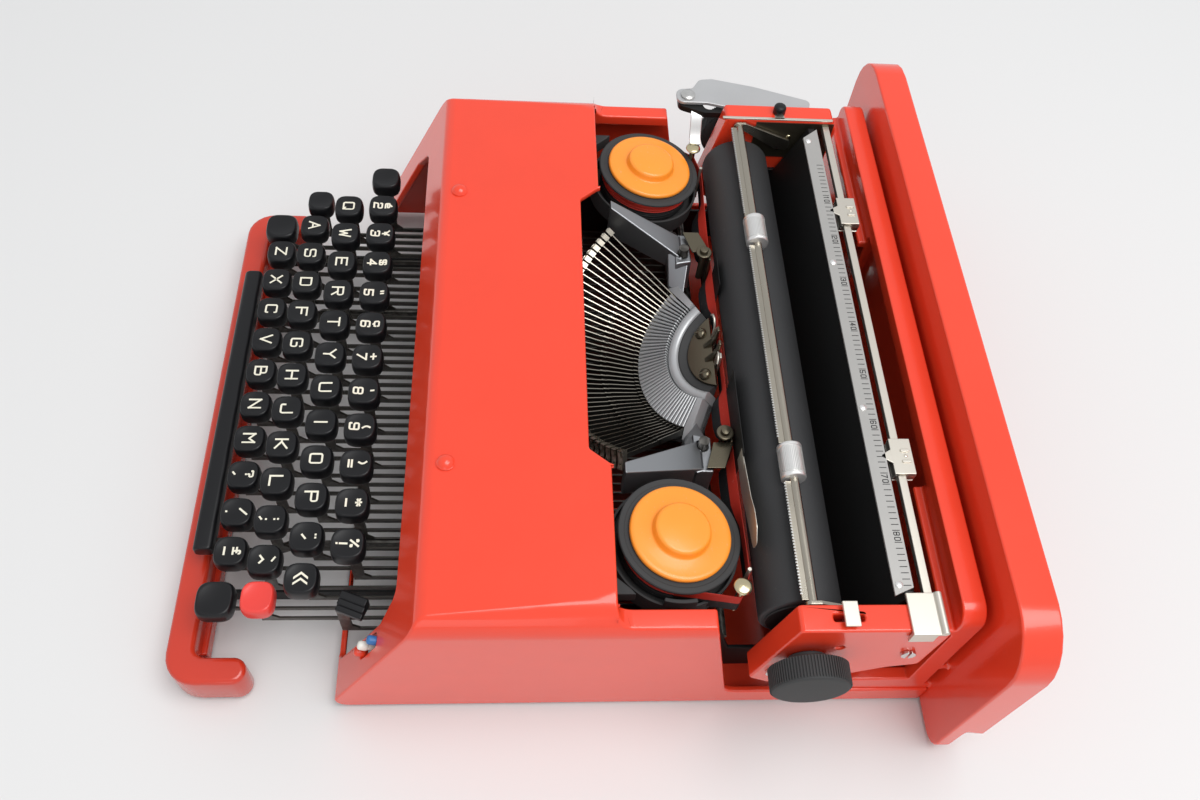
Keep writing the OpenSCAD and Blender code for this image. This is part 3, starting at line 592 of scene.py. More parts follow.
class Build:
    """Collects the surfaces of one piece in millimetres, then makes the piece."""

    MERGE = 2e-6
    FLAT = math.radians(0.6)
    WELD = 1e-4
    BROAD = 90
    THIN = 0.001

    def __init__(self) -> None:
        """Start with no surfaces."""
        self.bm = bmesh.new()

    def loft(self, rings: list[list[Point]], place: Matrix = UPRIGHT, cap: bool = True,
             closed: bool = True) -> "Build":
        """Join rings with as many points each into a skin.

        Args:
            rings: The rings in order.
            place: Where the local frame sits.
            cap: Whether the first and last ring are filled.
            closed: Whether each ring closes on itself.

        Returns:
            This collector.
        """
        rows = [[self.bm.verts.new(place @ Vector(p)) for p in ring] for ring in rings]
        count = len(rows[0])
        for low, high in zip(rows, rows[1:]):
            for i in range(count if closed else count - 1):
                j = (i + 1) % count
                self.bm.faces.new((low[i], low[j], high[j], high[i]))
        if cap:
            self.bm.faces.new(list(reversed(rows[0])))
            self.bm.faces.new(rows[-1])
        return self

    def prism(self, outline: list[Flat], low: float, high: float, axis: Axis = Axis.Z,
              place: Matrix = UPRIGHT) -> "Build":
        """Add an outline drawn across an axis and drawn out along it.

        Args:
            outline: The outline.
            low: Where it starts along the axis.
            high: Where it ends.
            axis: The axis.
            place: Where the local frame sits.

        Returns:
            This collector.
        """
        def at(p: Flat, h: float) -> Point:
            """Return the place of a point of the outline at a height."""
            return {Axis.X: (h, p[0], p[1]), Axis.Y: (p[0], h, p[1]), Axis.Z: (p[0], p[1], h)}[axis]
        return self.loft([[at(p, low) for p in outline], [at(p, high) for p in outline]], place)

    def box(self, low: Point, high: Point, place: Matrix = UPRIGHT) -> "Build":
        """Add a block between two corners."""
        return self.prism([(low[0], low[1]), (high[0], low[1]), (high[0], high[1]), (low[0], high[1])],
                          low[2], high[2], Axis.Z, place)

    def lathe(self, profile: list[Flat], place: Matrix = UPRIGHT, sides: int = 64) -> "Build":
        """Turn a profile about the local Z axis.

        Args:
            profile: Radius and height of its points.
            place: Where the local frame sits.
            sides: Faces round the axis.

        Returns:
            This collector.
        """
        rings = []
        for r, h in profile:
            r = max(r, self.THIN)
            rings.append([(r * math.cos(2 * math.pi * k / sides), r * math.sin(2 * math.pi * k / sides), h)
                          for k in range(sides)])
        return self.loft(rings, place)

    def rod(self, start: Point, end: Point, radius: float, sides: int = 24, edge: float = 0.0) -> "Build":
        """Add a round rod.

        Args:
            start: One end.
            end: The other end.
            radius: Its radius.
            sides: Faces round it.
            edge: Chamfer of its ends.

        Returns:
            This collector.
        """
        a, b = Vector(start), Vector(end)
        length = (b - a).length
        place = Matrix.Translation(a) @ (b - a).to_track_quat("Z", "Y").to_matrix().to_4x4()
        profile = [(radius, 0.0), (radius, length)]
        if edge:
            profile = [(radius - edge, 0.0), (radius, edge), (radius, length - edge), (radius - edge, length)]
        return self.lathe(profile, place, sides)

    def tube(self, path: list[Point], radius: float, sides: int = 10) -> "Build":
        """Add a round wire.

        Args:
            path: Its middle line.
            radius: Its radius.
            sides: Faces round it.

        Returns:
            This collector.
        """
        points = [Vector(p) for p in path]
        rings = []
        up = Vector((0.21, 0.13, 0.97))
        for i, p in enumerate(points):
            along = heading(points, i)
            side = along.cross(up).normalized()
            out = side.cross(along).normalized()
            rings.append([tuple(p + radius * (math.cos(t) * side + math.sin(t) * out))
                          for t in (2 * math.pi * k / sides for k in range(sides))])
        return self.loft(rings)

    def ribbon(self, path: list[Flat], width: float, thickness: float, axis: Axis, start: float) -> "Build":
        """Add a bent strip.

        Args:
            path: Its path, drawn across the axis.
            width: Its width along the axis.
            thickness: Its thickness.
            axis: The axis.
            start: Where it starts along the axis.

        Returns:
            This collector.
        """
        points = [Vector(p) for p in path]
        inner, outer = [], []
        for i, p in enumerate(points):
            along = heading(points, i)
            normal = Vector((-along.y, along.x))
            inner.append(tuple(p))
            outer.append(tuple(p + normal * thickness))
        return self.prism(inner + outer[::-1], start, start + width, axis)

    def shift(self, x: float, y: float, z: float) -> "Build":
        """Move what was collected so far."""
        bmesh.ops.translate(self.bm, vec=(x, y, z), verts=self.bm.verts)
        return self

    def copy_of(self, node: str, convex: bool = False) -> "Build":
        """Add a merged copy of a CAD node.

        Args:
            node: The node.
            convex: Whether its faces are split into convex ones.

        Returns:
            This collector.
        """
        scratch = bmesh.new()
        scratch.from_mesh(frame["nodes"][node].data)
        bmesh.ops.remove_doubles(scratch, verts=scratch.verts, dist=self.MERGE)
        bmesh.ops.dissolve_limit(scratch, angle_limit=self.FLAT, verts=scratch.verts, edges=scratch.edges)
        if convex:
            bmesh.ops.connect_verts_concave(scratch, faces=scratch.faces)
        bmesh.ops.scale(scratch, vec=(1 / MM,) * 3, verts=scratch.verts)
        mesh = bpy.data.meshes.new("copy")
        scratch.to_mesh(mesh)
        scratch.free()
        self.bm.from_mesh(mesh)
        bpy.data.meshes.remove(mesh)
        return self

    def mesh(self, name: str, finish: Finish, bevel: float = 0.0, segments: int = 2, angle: float = 32.0,
             recalc: bool = True) -> Mesh:
        """Make the mesh in metres.

        Args:
            name: Name of the mesh.
            finish: Finish of its surface.
            bevel: Width of the rounded edges in millimetres.
            segments: Faces across a rounded edge.
            angle: Edges sharper than this are rounded, or stay sharp in shading without a bevel.
            recalc: Whether the faces are turned outwards.

        Returns:
            The mesh.
        """
        if recalc:
            bmesh.ops.remove_doubles(self.bm, verts=self.bm.verts, dist=self.WELD)
            bmesh.ops.recalc_face_normals(self.bm, faces=self.bm.faces)
        bmesh.ops.scale(self.bm, vec=(MM,) * 3, verts=self.bm.verts)
        mesh = bpy.data.meshes.new(name)
        self.bm.to_mesh(mesh)
        self.bm.free()
        mesh.polygons.foreach_set("use_smooth", [True] * len(mesh.polygons))
        if bevel:
            obj = placed(name, mesh)
            mod = obj.modifiers.new("edges", "BEVEL")
            mod.width, mod.segments = bevel * MM, segments
            mod.limit_method, mod.angle_limit = "ANGLE", math.radians(angle)
            mod.use_clamp_overlap = False
            mod.miter_outer = "MITER_ARC"
            obj.modifiers.new("broad_faces_stay_flat", "WEIGHTED_NORMAL").weight = self.BROAD
            bpy.context.view_layer.update()
            mesh = evaluated_mesh(obj)
        else:
            mesh.set_sharp_from_angle(angle=math.radians(angle))
        mesh.materials.clear()
        mesh.materials.append(finish.material())
        return mesh

    def piece(self, name: str, finish: Finish, body: str, replaces: tuple[str, ...] = (), bevel: float = 0.0,
              segments: int = 2, angle: float = 32.0, recalc: bool = True) -> Piece:
        """Make the piece and let it ride on its body; the arguments are those of mesh and finish_object."""
        mesh = self.mesh(name, finish, bevel, segments, angle, recalc)
        return finish_object(mesh, name, body, replaces)


def refine(node: str, finish: Finish, bevel: float = 0.3, segments: int = 2, angle: float = 32.0,
           convex: bool = False) -> Piece:
    """Stand a copy of a CAD node with rounded edges in for the node."""
    copy = Build().copy_of(node, convex)
    return copy.piece(node + "_skin", finish, BODY_OF[node], (node,), bevel, segments, angle, False)


@dataclass(frozen=True)
class Row:
    """Copies in a straight row: their number, the place of the first and the way to the next."""

    count: int
    start: Point
    step: Point

    def values(self) -> dict[str, object]:
        """Return the inputs of the row's tree, in metres."""
        return {"Count": self.count, "Start": [v * MM for v in self.start], "Step": [v * MM for v in self.step]}


@dataclass(frozen=True)
class Ring:
    """Copies round an axis: their number, a point on it, its direction, the first angle and the step in degrees."""

    count: int
    centre: Point
    axis: Point
    first: float
    step: float

    def values(self) -> dict[str, object]:
        """Return the inputs of the ring's tree, in metres and radians."""
        return {"Count": self.count, "Start": [v * MM for v in self.centre], "Axis": list(self.axis),
                "First angle": math.radians(self.first), "Angle step": math.radians(self.step)}


class Repeats:
    """Geometry node trees for what repeats on the machine."""

    def __init__(self) -> None:
        """Build the trees."""
        self.row = self._row_tree()
        self.ring = self._ring_tree()
        self.spring = self._spring_tree()

    @staticmethod
    def _tree(name: str, inputs: dict[str, str]) -> Tree:
        """Start a tree with a material input and one geometry output."""
        return new_tree(name, "GeometryNodeTree", {**inputs, "Material": "Material"}, {"Geometry": "Geometry"})

    @staticmethod
    def _end(tree: Tree, geometry: Socket) -> None:
        """Close a tree with Realize Instances and Set Material.

        Args:
            tree: The node tree.
            geometry: What the tree made.
        """
        realize = tree.nodes.new("GeometryNodeRealizeInstances")
        paint = tree.nodes.new("GeometryNodeSetMaterial")
        wire(tree, (geometry, realize.inputs["Geometry"]), (realize.outputs["Geometry"], paint.inputs["Geometry"]),
             (tree.nodes["in"].outputs["Material"], paint.inputs["Material"]),
             (paint.outputs["Geometry"], tree.nodes["out"].inputs["Geometry"]))

    @staticmethod
    def _shapes(tree: Tree) -> Node:
        """Add points, in a row if the tree has a step, and an instance of the shape on each.

        Args:
            tree: The node tree.

        Returns:
            The instancing node.
        """
        given = tree.nodes["in"].outputs
        line = add_node(tree, "GeometryNodeMeshLine", {"Offset": (0.0, 0.0, 0.0)})
        info = tree.nodes.new("GeometryNodeObjectInfo")
        copies = tree.nodes.new("GeometryNodeInstanceOnPoints")
        wire(tree, (given["Count"], line.inputs["Count"]), (given["Start"], line.inputs["Start Location"]),
             (given["Shape"], info.inputs["Object"]), (line.outputs["Mesh"], copies.inputs["Points"]),
             (info.outputs["Geometry"], copies.inputs["Instance"]))
        if "Step" in given:
            tree.links.new(given["Step"], line.inputs["Offset"])
        return copies

    def _row_tree(self) -> Tree:
        """Make the tree that repeats a shape in a straight row.

        Returns:
            The tree.
        """
        tree = self._tree("row_of_shapes", {"Shape": "Object", "Count": "Int", "Start": "Vector", "Step": "Vector"})
        self._end(tree, self._shapes(tree).outputs["Instances"])
        return tree

    def _ring_tree(self) -> Tree:
        """Make the tree that repeats a shape round an axis.

        Returns:
            The tree.
        """
        tree = self._tree("ring_of_shapes", {"Shape": "Object", "Count": "Int", "Start": "Vector", "Axis": "Vector",
                                             "First angle": "Float", "Angle step": "Float"})
        given = tree.nodes["in"].outputs
        copies = self._shapes(tree)
        index = tree.nodes.new("GeometryNodeInputIndex")
        angle = tree.nodes.new("ShaderNodeMath")
        angle.operation = "MULTIPLY_ADD"
        turn = tree.nodes.new("FunctionNodeAxisAngleToRotation")
        wire(tree, (index.outputs["Index"], angle.inputs[0]), (given["Angle step"], angle.inputs[1]),
             (given["First angle"], angle.inputs[2]), (given["Axis"], turn.inputs["Axis"]),
             (angle.outputs["Value"], turn.inputs["Angle"]), (turn.outputs["Rotation"], copies.inputs["Rotation"]))
        self._end(tree, copies.outputs["Instances"])
        return tree

    def _spring_tree(self) -> Tree:
        """Make the tree of a wire coil along X.

        Returns:
            The tree.
        """
        tree = self._tree("coil_spring", {"Turns": "Float", "Radius": "Float", "Length": "Float", "Wire": "Float",
                                          "Start": "Vector"})
        given = tree.nodes["in"].outputs
        spiral = add_node(tree, "GeometryNodeCurveSpiral", {"Resolution": 14})
        section = add_node(tree, "GeometryNodeCurvePrimitiveCircle", {"Resolution": 6})
        skin = add_node(tree, "GeometryNodeCurveToMesh", {"Fill Caps": True})
        place = add_node(tree, "GeometryNodeTransform", {"Rotation": (0.0, math.pi / 2, 0.0)})
        wire(tree, (given["Turns"], spiral.inputs["Rotations"]), (given["Radius"], spiral.inputs["Start Radius"]),
             (given["Radius"], spiral.inputs["End Radius"]), (given["Length"], spiral.inputs["Height"]),
             (given["Wire"], section.inputs["Radius"]), (spiral.outputs["Curve"], skin.inputs["Curve"]),
             (section.outputs["Curve"], skin.inputs["Profile Curve"]),
             (skin.outputs["Mesh"], place.inputs["Geometry"]), (given["Start"], place.inputs["Translation"]))
        self._end(tree, place.outputs["Geometry"])
        return tree

    @staticmethod
    def bake(tree: Tree, name: str, values: dict[str, object], angle: float = 35.0) -> Mesh:
        """Run a tree and keep its result as a plain mesh.

        Args:
            tree: The tree.
            name: Name of the mesh.
            values: Input values by socket name, lengths in metres.
            angle: Edges sharper than this stay sharp in shading.

        Returns:
            The mesh.
        """
        host = placed(name, bpy.data.meshes.new(name))
        mod = host.modifiers.new("repeat", "NODES")
        mod.node_group = tree
        for item in tree.interface.items_tree:
            if item.in_out == "INPUT":
                mod[item.identifier] = values[item.name]
        bpy.context.view_layer.update()
        mesh = evaluated_mesh(host)
        if not mesh.has_custom_normals:
            mesh.polygons.foreach_set("use_smooth", [True] * len(mesh.polygons))
            mesh.set_sharp_from_angle(angle=math.radians(angle))
        return mesh

    def copies(self, shape: Build, name: str, finish: Finish, body: str, layout: Row | Ring,
               replaces: tuple[str, ...] = (), bevel: float = 0.0) -> Piece:
        """Make one piece of equal shapes.

        Args:
            shape: The shape, drawn at the origin of the layout.
            name: Name of the piece.
            finish: Its finish.
            body: CAD body that it moves with.
            layout: Where the copies are.
            replaces: CAD nodes that it stands for.
            bevel: Width of the rounded edges of the shape.

        Returns:
            The piece.
        """
        model = placed("model", shape.mesh("model", finish, bevel))
        tree = self.row if isinstance(layout, Row) else self.ring
        mesh = self.bake(tree, name, {"Shape": model, "Material": finish.material(), **layout.values()})
        bpy.data.objects.remove(model)
        return finish_object(mesh, name, body, replaces)

    def coil(self, name: str, finish: Finish, body: str, start: Point, length: float, radius: float, wire: float,
             turns: float) -> Piece:
        """Make a wire spring along X.

        Args:
            name: Name of the piece.
            finish: Its finish.
            body: CAD body that it moves with.
            start: Its first end.
            length: Its length.
            radius: Its radius.
            wire: Radius of the wire.
            turns: Number of turns.

        Returns:
            The piece.
        """
        mesh = self.bake(self.spring, name, {"Turns": turns, "Radius": radius * MM, "Length": length * MM,
                                             "Wire": wire * MM, "Start": [v * MM for v in start],
                                             "Material": finish.material()})
        return finish_object(mesh, name, body)


REPEATS = Repeats()


def edge_levels(low: float, high: float, under: float, over: float, steps: int = 5) -> list[Flat]:
    """Lay out the levels of a slab whose lower and upper edges are rounded.

    Args:
        low: Height of its bottom.
        high: Height of its top.
        under: Radius of the lower edge.
        over: Radius of the upper edge.
        steps: Straight pieces in each edge.

    Returns:
        Inset and height of each level.
    """
    angles = [math.pi / 2 * k / steps for k in range(steps + 1)]
    lower = [(under * (1 - math.sin(a)), low + under * (1 - math.cos(a))) for a in angles]
    upper = [(over * (1 - math.cos(a)), high - over * (1 - math.sin(a))) for a in angles]
    return lower + upper


@dataclass
class Shell:
    """The red mouldings with what is fixed to them."""

    front: float = -176.0
    foot: float = 2.0
    bar_middle: float = 10.2
    bar_half: float = 134.25
    bar_depth: float = 12.0
    bar_top: float = 22.0
    bar_return: float = 35.0
    bar_corner: float = 14.0
    bar_end: float = 5.9
    bumper: Point = (76.5, -55.5, 92.86)
    selector: Point = (137.0, -86.87, 45.0)
    selector_lean: float = 26.2
    handle_pins: float = 64.2

    def build(self) -> None:
        """Make every piece of the shell."""
        refine("body_shell", RED, 1.0, 3)
        refine("back_plate", RED, 1.1, 3, convex=True)
        self._front_bar()
        self._bumpers()
        self._colour_selector()
        self._handle()
        refine("feet", RUBBER, 0.5)
        refine("shell_screws", STEEL, 0.25)

    def _handle(self) -> None:
        """Make the carrying handle, its pins a little short of the ends of their holes."""
        handle = Build().copy_of("carry_handle")
        for vert in handle.bm.verts:
            vert.co.x = max(-self.handle_pins, min(self.handle_pins, vert.co.x))
        handle.piece("carry_handle_skin", BLACK_SATIN, BODY_OF["carry_handle"], ("carry_handle",), 0.8, 3,
                     recalc=False)

    def _bar_outline(self, inset: float) -> list[Flat]:
        """Draw the front bar from above.

        Args:
            inset: How far the outline is drawn in.

        Returns:
            The points of the outline.
        """
        out, rear = self.bar_half - inset, self.front + self.bar_return - inset
        inner, near = self.bar_half - self.bar_depth + inset, self.front + self.bar_depth - inset
        corner, end, nook = self.bar_corner - inset, self.bar_end - inset, 5.0 + inset
        first = self.front + inset
        return rounded([(-out, first, corner), (out, first, corner), (out, rear, end), (inner, rear, end),
                        (inner, near, nook), (-inner, near, nook), (-inner, rear, end), (-out, rear, end)])

    def _front_bar(self) -> None:
        """Make the front bar with its rounded edges and the ledge inside it, in the darker red that carries painted
        shade.
        """
        levels = edge_levels(self.foot, self.bar_top, 1.5, 2.4)
        rings = [[(x, y, z) for x, y in self._bar_outline(inset)] for inset, z in levels]
        place = moved(self.bar_middle, 0.0, 0.0)
        Build().loft(rings, place).piece("front_bar_skin", RED_BAR_PAINTED_SHADE, "machine", ("front_bar",))
        reach, near = self.bar_half - self.bar_depth - 5.0, self.front + self.bar_depth
        Build().box((-reach, near - 1.0, self.foot), (reach, near + 2.4, 10.0), place).piece(
            "front_bar_ledge", RED_BAR_PAINTED_SHADE, "machine", bevel=0.8, segments=3)

    def _bumpers(self) -> None:
        """Make the two small domes on top of the hood."""
        profile = [(2.0, -2.5), (2.0, 0.1), (3.9, 0.1), (4.0, 0.5)] + arc((0.0, -1.6), 4.3, 30, 90, 6)
        both = Build()
        for side in (-1, 1):
            both.lathe(profile, moved(side * self.bumper[0], *self.bumper[1:]), 32)
        both.piece("top_bumper_domes", RED, "machine", ("top_bumpers",))

    def _colour_selector(self) -> None:
        """Make the white ribbon colour lever between its blue and its red stop."""
        place = moved(*self.selector) @ turned(Axis.X, -self.selector_lean) @ turned(Axis.X, 90)
        lever = [(1.4, -6.0), (1.4, 0.2), (1.8, 0.5), (1.95, 1.1), (1.95, 3.4), (1.7, 4.1), (1.1, 4.5), (0, 4.6)]
        Build().box((-7, -5, -6.0), (7, 5, -4.3), place).piece("colour_slide", BLACK_SATIN, "colour")
        Build().lathe(lever, place, 32).piece("colour_lever", IVORY, "colour", ("colour_selector",), angle=50)
        stop = [(0, -1.0), (1.95, -1.0), (1.95, 2.4), (1.7, 3.0), (1.1, 3.3), (0, 3.4)]
        for name, finish, along in (("blue_colour_stop", BLUE, 7.6), ("red_colour_stop", RED, -7.6)):
            Build().lathe(stop, place @ moved(0, along, 0), 32).piece(name, finish, "machine", angle=50)


@dataclass
class Frame:
    """The steel frame inside the shell, mostly in shade."""

    bell: Point = (-92.0, 127.0, 17.0)
    bell_radius: float = 11.0

    def build(self) -> None:
        """Make the frame's pieces."""
        for node, finish, bevel in (
                ("side_frames", LACQUER, 0.2), ("cross_rods", LEVER, 0.0), ("key_comb", LACQUER, 0.0),
                ("spool_cups", BLACK_SATIN, 0.3), ("spool_posts", STEEL, 0.3), ("carriage_rail", STEEL, 0.4),
                ("spring_drum", LACQUER, 0.6)):
            refine(node, finish, bevel)
        self._bell()

    def _bell(self) -> None:
        """Make the bell as a thin dome on its post."""
        dome = [(self.bell_radius * math.cos(a), self.bell_radius * math.sin(a))
                for a in (math.radians(90 * k / 10) for k in range(10))]
        inner = [(r - 1.2, h) for r, h in dome if r > 4.0]
        profile = [(2.5, -12.0), (2.5, 9.4)] + inner[::-1] + dome + [(0.0, self.bell_radius)]
        Build().lathe(profile, moved(*self.bell), 40).piece("bell_dome", STEEL, "machine", ("bell",), angle=45)


class Lettering:
    """Plain squarish lettering with strokes of one width.

    Each sign is drawn on a grid, four units wide and six high. A stroke is a list of two-digit points, x then y;
    its inner corners are rounded and its ends are square.
    """

    GRID: Flat = (4.0, 6.0)
    CORNER = 1.15
    SIGNS = {
        "A": "00 26,26 40,12 32", "B": "00 06,06 36 33 03,33 43 40 00", "C": "45 46 06 00 40 41",
        "D": "00 06,06 46 40 00", "E": "46 06,06 00,00 40,03 33", "F": "46 06,06 00,03 33",
        "G": "45 46 06 00 40 43 23", "H": "00 06,40 46,03 43", "I": "20 26", "J": "46 40 00 02",
        "K": "00 06,46 13,13 40,03 13", "L": "06 00,00 40", "M": "00 06,06 23,23 46,46 40", "N": "00 06,06 40,40 46",
        "O": "20 00 06 46 40 20", "P": "00 06,06 46 43 03", "Q": "20 00 06 46 40 20,31 40",
        "R": "00 06,06 46 43 03,23 40", "S": "45 46 06 03 43 40 00 01", "T": "06 46,26 20", "U": "06 00 40 46",
        "V": "06 20,20 46", "W": "06 10,10 24,24 30,30 46", "X": "00 46,06 40", "Y": "06 23,46 23,23 20",
        "Z": "06 46,46 00,00 40", "0": "20 00 06 46 40 20", "1": "15 26,26 20", "2": "05 06 46 43 03 00,00 40",
        "3": "05 06 46 40 00 01,13 43", "4": "30 36,36 02,02 42", "5": "46 06,06 03,03 43 40 00 01",
        "6": "45 46 06 00 40 43 03", "7": "06 46,46 10", "8": "23 03 00 40 43 23,23 03 06 46 43 23",
        "9": "01 00 40 46 06 03 43", "é": "02 42 44 04 00 40,25 36", "¥": "06 23,46 23,23 20,12 32,13 33",
        "$": "45 46 06 03 43 40 00 01,20 26", "\"": "14 16,34 36", "ç": "44 45 05 01 41 42,21 20", "+": "03 43,21 25",
        "'": "24 26", "(": "36 24 22 30", ")": "16 24 22 10", "=": "02 42,04 44", "*": "21 25,02 44,04 42",
        "-": "03 43", "%": "00 46,05 06 16 15 05,31 30 40 41 31", "!": "22 26,20 20", ":": "21 21,24 24",
        ";": "24 24,21 10", "?": "05 06 46 43 23 22,20 20", ",": "21 10", ".": "20 20", "/": "00 46",
        "£": "45 46 26 20,00 40,03 33", "`": "16 34", "^": "04 26,26 44", "¨": "15 15,35 35", "´": "14 36"}

    @classmethod
    def strokes(cls, sign: str, size: Flat) -> list[list[Vector]]:
        """Lay out a sign about its middle, corners rounded.

        Args:
            sign: The character.
            size: Its width and height.

        Returns:
            The centre lines of its strokes.
        """
        lines = []
        unit = (size[0] / cls.GRID[0], size[1] / cls.GRID[1])
        for stroke in cls.SIGNS[sign].split(","):
            points = [Vector(((int(p[0]) - cls.GRID[0] / 2) * unit[0], (int(p[1]) - cls.GRID[1] / 2) * unit[1]))
                      for p in stroke.split()]
            line = [points[0]]
            for before, here, after in zip(points, points[1:], points[2:]):
                a, b = before - here, after - here
                reach = min(cls.CORNER * min(unit), a.length / 2, b.length / 2)
                a, b = here + a.normalized() * reach, here + b.normalized() * reach
                line += [a.lerp(here, t).lerp(here.lerp(b, t), t) for t in (0.0, 0.25, 0.5, 0.75, 1.0)]
            lines.append(line + [points[-1]])
        return lines

    @classmethod
    def draw(cls, into: Build, sign: str, size: Flat, width: float, middle: Flat,
             height: Callable[[float, float], float], thick: float = 0.1) -> None:
        """Lay a sign on a surface.

        Args:
            into: Collector of the lettering.
            sign: The character.
            size: Width and height of its centre lines.
            width: Width of its strokes.
            middle: Place of its middle.
            height: Gives the height of the surface at a place.
            thick: Thickness of the letters, half of it in the surface.
        """
        for line in cls.strokes(sign, size):
            if (line[-1] - line[0]).length < 1e-6 and len(line) == 2:
                line = [line[0] - Vector((0.01, 0.0)), line[0] + Vector((0.01, 0.0))]
            rings = []
            for i, p in enumerate(line):
                along = heading(line, i)
                end = {0: -0.5, len(line) - 1: 0.5}.get(i, 0.0) * width
                across = Vector((-along.y, along.x)) * width / 2
                sides = [p + along * end + across + Vector(middle), p + along * end - across + Vector(middle)]
                tops = [(q.x, q.y, height(q.x, q.y) + thick / 2) for q in sides]
                rings.append(tops + [(x, y, z - thick) for x, y, z in reversed(tops)])
            into.loft(rings)


@dataclass
class KeyCap:
    """A moulded key cap: a rounded square with tall sides and a dished top."""

    wide: float = 14.5
    deep: float = 14.5
    tall: float = 8.0
    power: float = 3.1
    dish: float = 0.95
    rim: float = 0.80
    corner: float = 0.66

    def shape(self) -> Build:
        """Draw the cap with the rim of its top at the origin.

        Returns:
            The collector of the cap.
        """
        sides = [(0.86, -self.tall), (0.93, 0.3 - self.tall), (0.98, 1.2 - self.tall), (1.0, 2.6 - self.tall),
                 (0.995, -3.4), (0.98, -2.0), (0.955, -1.15), (0.92, -0.55), (0.88, -0.2), (0.84, -0.04)]
        rings = [self._ring(share, z, (1 - share) / (1 - self.rim)) for share, z in sides]
        rings += [self._ring(self.rim * f, 0.0, 1.0) for f in (1.0, 0.88, 0.74, 0.58, 0.42, 0.26, 0.12, 0.02)]
        return Build().loft(rings)

    def _ring(self, share: float, z: float, scoop: float) -> list[Point]:
        """Return one ring of the cap at a share of its width, lowered by some of the scoop."""
        return [(x, y, z + scoop * self.surface(x, y))
                for x, y in squircle(self.wide / 2 * share, self.deep / 2 * share, self.power, 56)]

    def surface(self, x: float, y: float) -> float:
        """Return the height of the scooped top at a place on the cap."""
        reach = (self.wide ** 2 + self.deep ** 2) * (self.rim / 2) ** 2 * self.corner
        return -self.dish * (1 - min(1.0, (x * x + y * y) / reach))


@dataclass
class KeyRow:
    """A row of character keys that share a hinge."""

    name: str
    first: float
    y: float
    top: float
    lever: float
    legends: tuple[str, ...]


